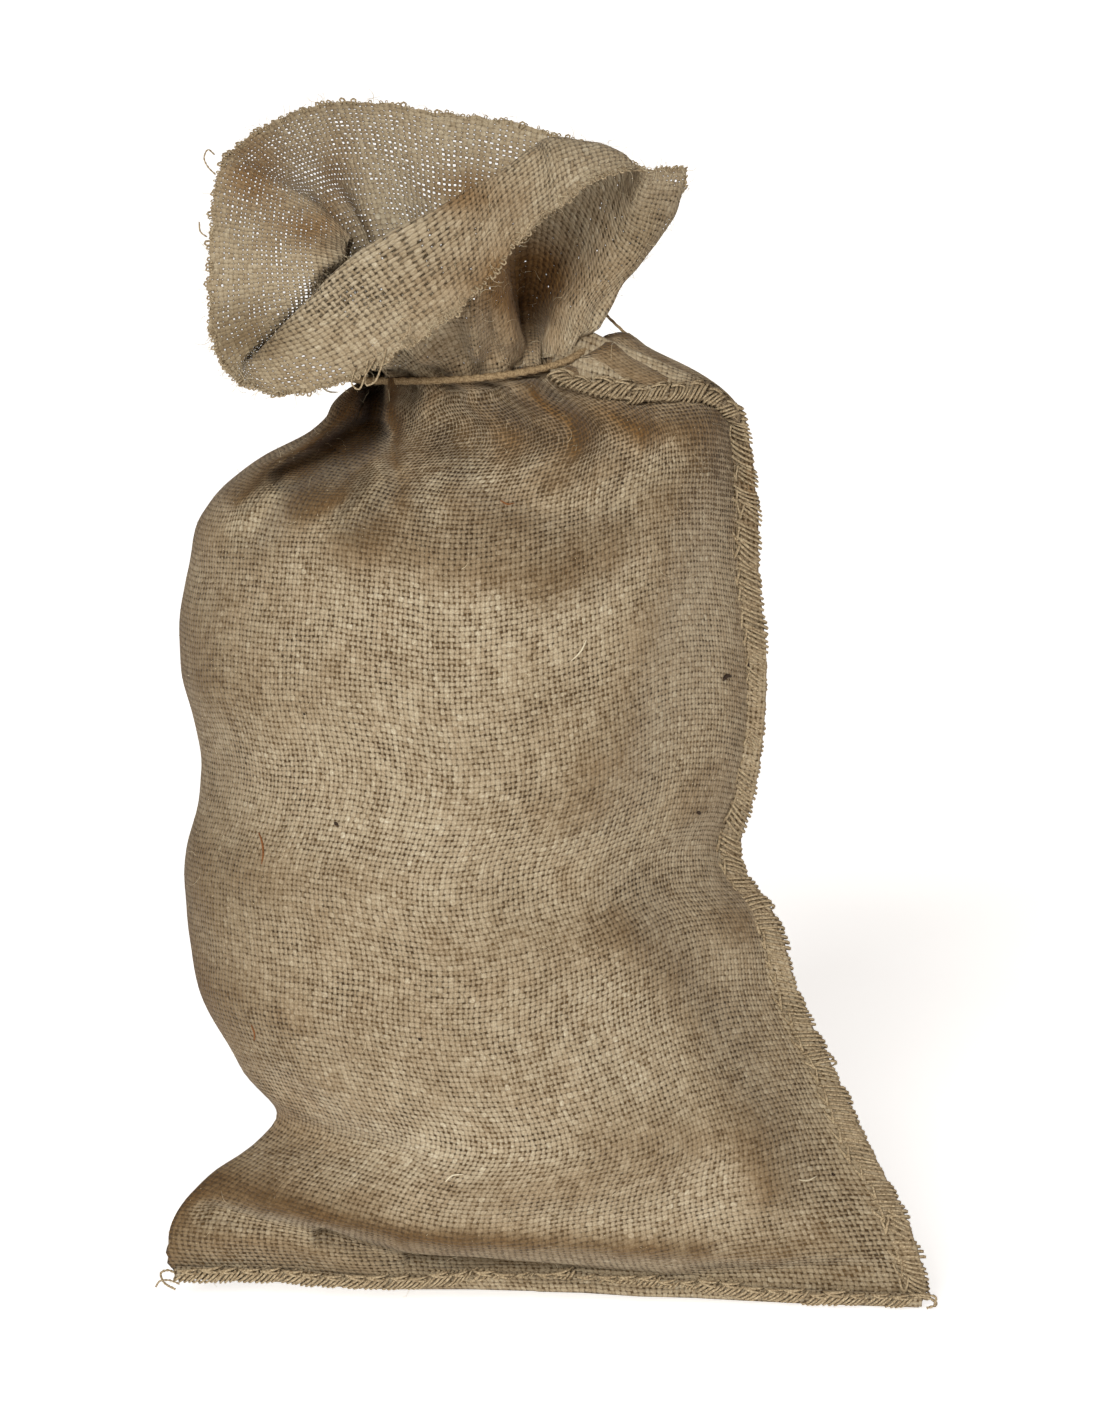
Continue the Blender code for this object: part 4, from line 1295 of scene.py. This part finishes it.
def mouth_grid(neck, pleated_neck, neck_up):
    """The open cloth's points by rows up and columns round, from the neck's ring to the cut edge, the
    place of each up the cloth and how far it is from the edge."""
    part = np.linspace(0, 1, MOUTH_ROWS + 1)
    above = part[:, None] * CLOTH_ABOVE
    grid = mouth_sheet(mouth_lines(neck), part)
    outward = normals(grid)
    free = fade(above, 4, 30)
    rough = roughness(grid, MOUTH_SWELL)
    grid = grid - outward * pleats(grid, above)[..., None] + outward * (rough * free)[..., None]
    grid += (pleated_neck - grid[:1]) * (1 - fade(above, 0, 14))[..., None]
    frayed = roughness(grid[-1:], MOUTH_FRAY)[0][:, None] * unit(grid[-1] - grid[-3])
    grid = grid + fade(part, 0.93, 1.0)[:, None, None] * frayed[None]
    step = np.linalg.norm(np.diff(grid[::-1], axis=0), axis=2)
    from_edge = np.concatenate([np.zeros((1, grid.shape[1])), np.cumsum(step, axis=0)])[::-1]
    from_edge = blurred(from_edge, 6.0)
    return grid, neck_up.max() + CLOTH_ABOVE - from_edge, from_edge


def make_mouth(body, surface):
    """The open cloth over the tie: it stands up round the mouth and turns out over the front."""
    points, across, up = body
    inner = slice(FLANGE_COLUMNS, -FLANGE_COLUMNS)
    sections = table(SECTION_COLUMNS, SECTIONS)
    top = {name: column[-1] for name, column in sections.items()}
    neck = gathered(outline(top), across[inner], 0)[0]
    grid, high, from_edge = mouth_grid(neck, points[-1, inner], up[-1, inner][None])
    grid[:, -1] = grid[:, 0]
    mesh = grid_mesh("sack_mouth", grid, across[inner] * MOUTH_THREADS, high, closed=False)
    painted(mesh, from_edge)
    form = bmesh.new()
    form.from_mesh(mesh)
    bmesh.ops.remove_doubles(form, verts=form.verts, dist=1e-7)
    form.to_mesh(mesh)
    form.free()
    mouth = declare(add("sack_mouth", mesh, surface), "sack")
    return grid


# ---------------------------------------------------------------- twine


def make_tie(surface):
    """Plied jute twine: once round the neck, knotted behind, with one long thin end that shows."""
    route = line_through([*TWINE_BACK_END, KNOT, *TWINE_ROUND, KNOT, *TWINE_SHOWN_END], 1.0)
    along = lengths(route)
    thin = 1 - (1 - TWINE_THIN) * fade(along / along[-1], 0.86, 0.93)
    strand = tube(route, TWINE / 2 * thin, TWINE_PLIES, TWINE_LAY, 0.14, 24)
    tie = declare(add("tie_twine", mesh_of("tie_twine", [strand]), surface), "tie")
    turn = np.linspace(0, 2 * math.pi, 25)
    loops = []
    for tilt in KNOT_TILTS:
        round_it = (np.cos(turn), np.sin(turn) * math.cos(tilt), np.sin(turn) * math.sin(tilt))
        loop = np.array(KNOT) + KNOT_SIZE * np.stack(round_it, axis=1)
        loops.append(tube(loop, KNOT_STRAND, TWINE_PLIES, 9.0, 0.14, 12))
    knot = declare(add("tie_knot", mesh_of("tie_knot", loops), surface), "tie")


# Stray fibres: how many, and the least and most that a hair is scaled by.
FUZZ = {"body_fuzz": (2600, (0.45, 1.5)), "mouth_fuzz": (1500, (0.5, 1.4)), "rim_fuzz": (700, (0.5, 1.5))}


def make_fuzz(body, mouth, surface):
    """Stray fibres on the filled cloth's outside, on both sides of the open cloth, and at its edge."""
    rng = np.random.default_rng(77)
    for name, grid in (("body_fuzz", body), ("mouth_fuzz", mouth)):
        count, size = FUZZ[name]
        row, column = (rng.integers(1, extent - 1, count) for extent in grid.shape[:2])
        side = 1 if name == "body_fuzz" else rng.choice((-1, 1), (count, 1))
        fuzz(name, grid[row, column], normals(grid)[row, column] * side, surface, size, 31)
    count, size = FUZZ["rim_fuzz"]
    rim = mouth[-2][rng.integers(0, mouth.shape[1], count)] + rng.normal(0, 1.2, (count, 3))
    fuzz("rim_fuzz", rim, rng.normal(0, 1, rim.shape), surface, size, 37)


def main():
    """Make everything: the camera and the cord first, then the studio, the cloth and what is sewn on it."""
    make_camera()
    make_tie(yarn_finish("jute_twine_plied", "#a38d6b", "#644f35", 1.5))
    make_studio()
    yarn = yarn_finish("jute_sewing_yarn", "#b6a587", "#6a563c", 1.3)
    filled = weave("hessian_filled", holes_open=False)
    body = make_body(filled)
    mesh = bpy.data.meshes["sack_body"]
    corners = [tuple(face.vertices) for face in mesh.polygons]
    tree = BVHTree.FromPolygons([place.co.copy() for place in mesh.vertices], corners)
    sew_side(body[0], yarn)
    sew_foot(tree, filled, yarn)
    sew_shoulder(tree, filled, yarn)
    mouth = make_mouth(body, weave("hessian_open", holes_open=True, openness=-0.035))
    fringe(mouth, yarn)
    loose_bits(tree)
    make_fuzz(body[0], mouth, yarn_finish("stray_fibre", "#cfc2a4", "#a8977a", 0.6))


main()
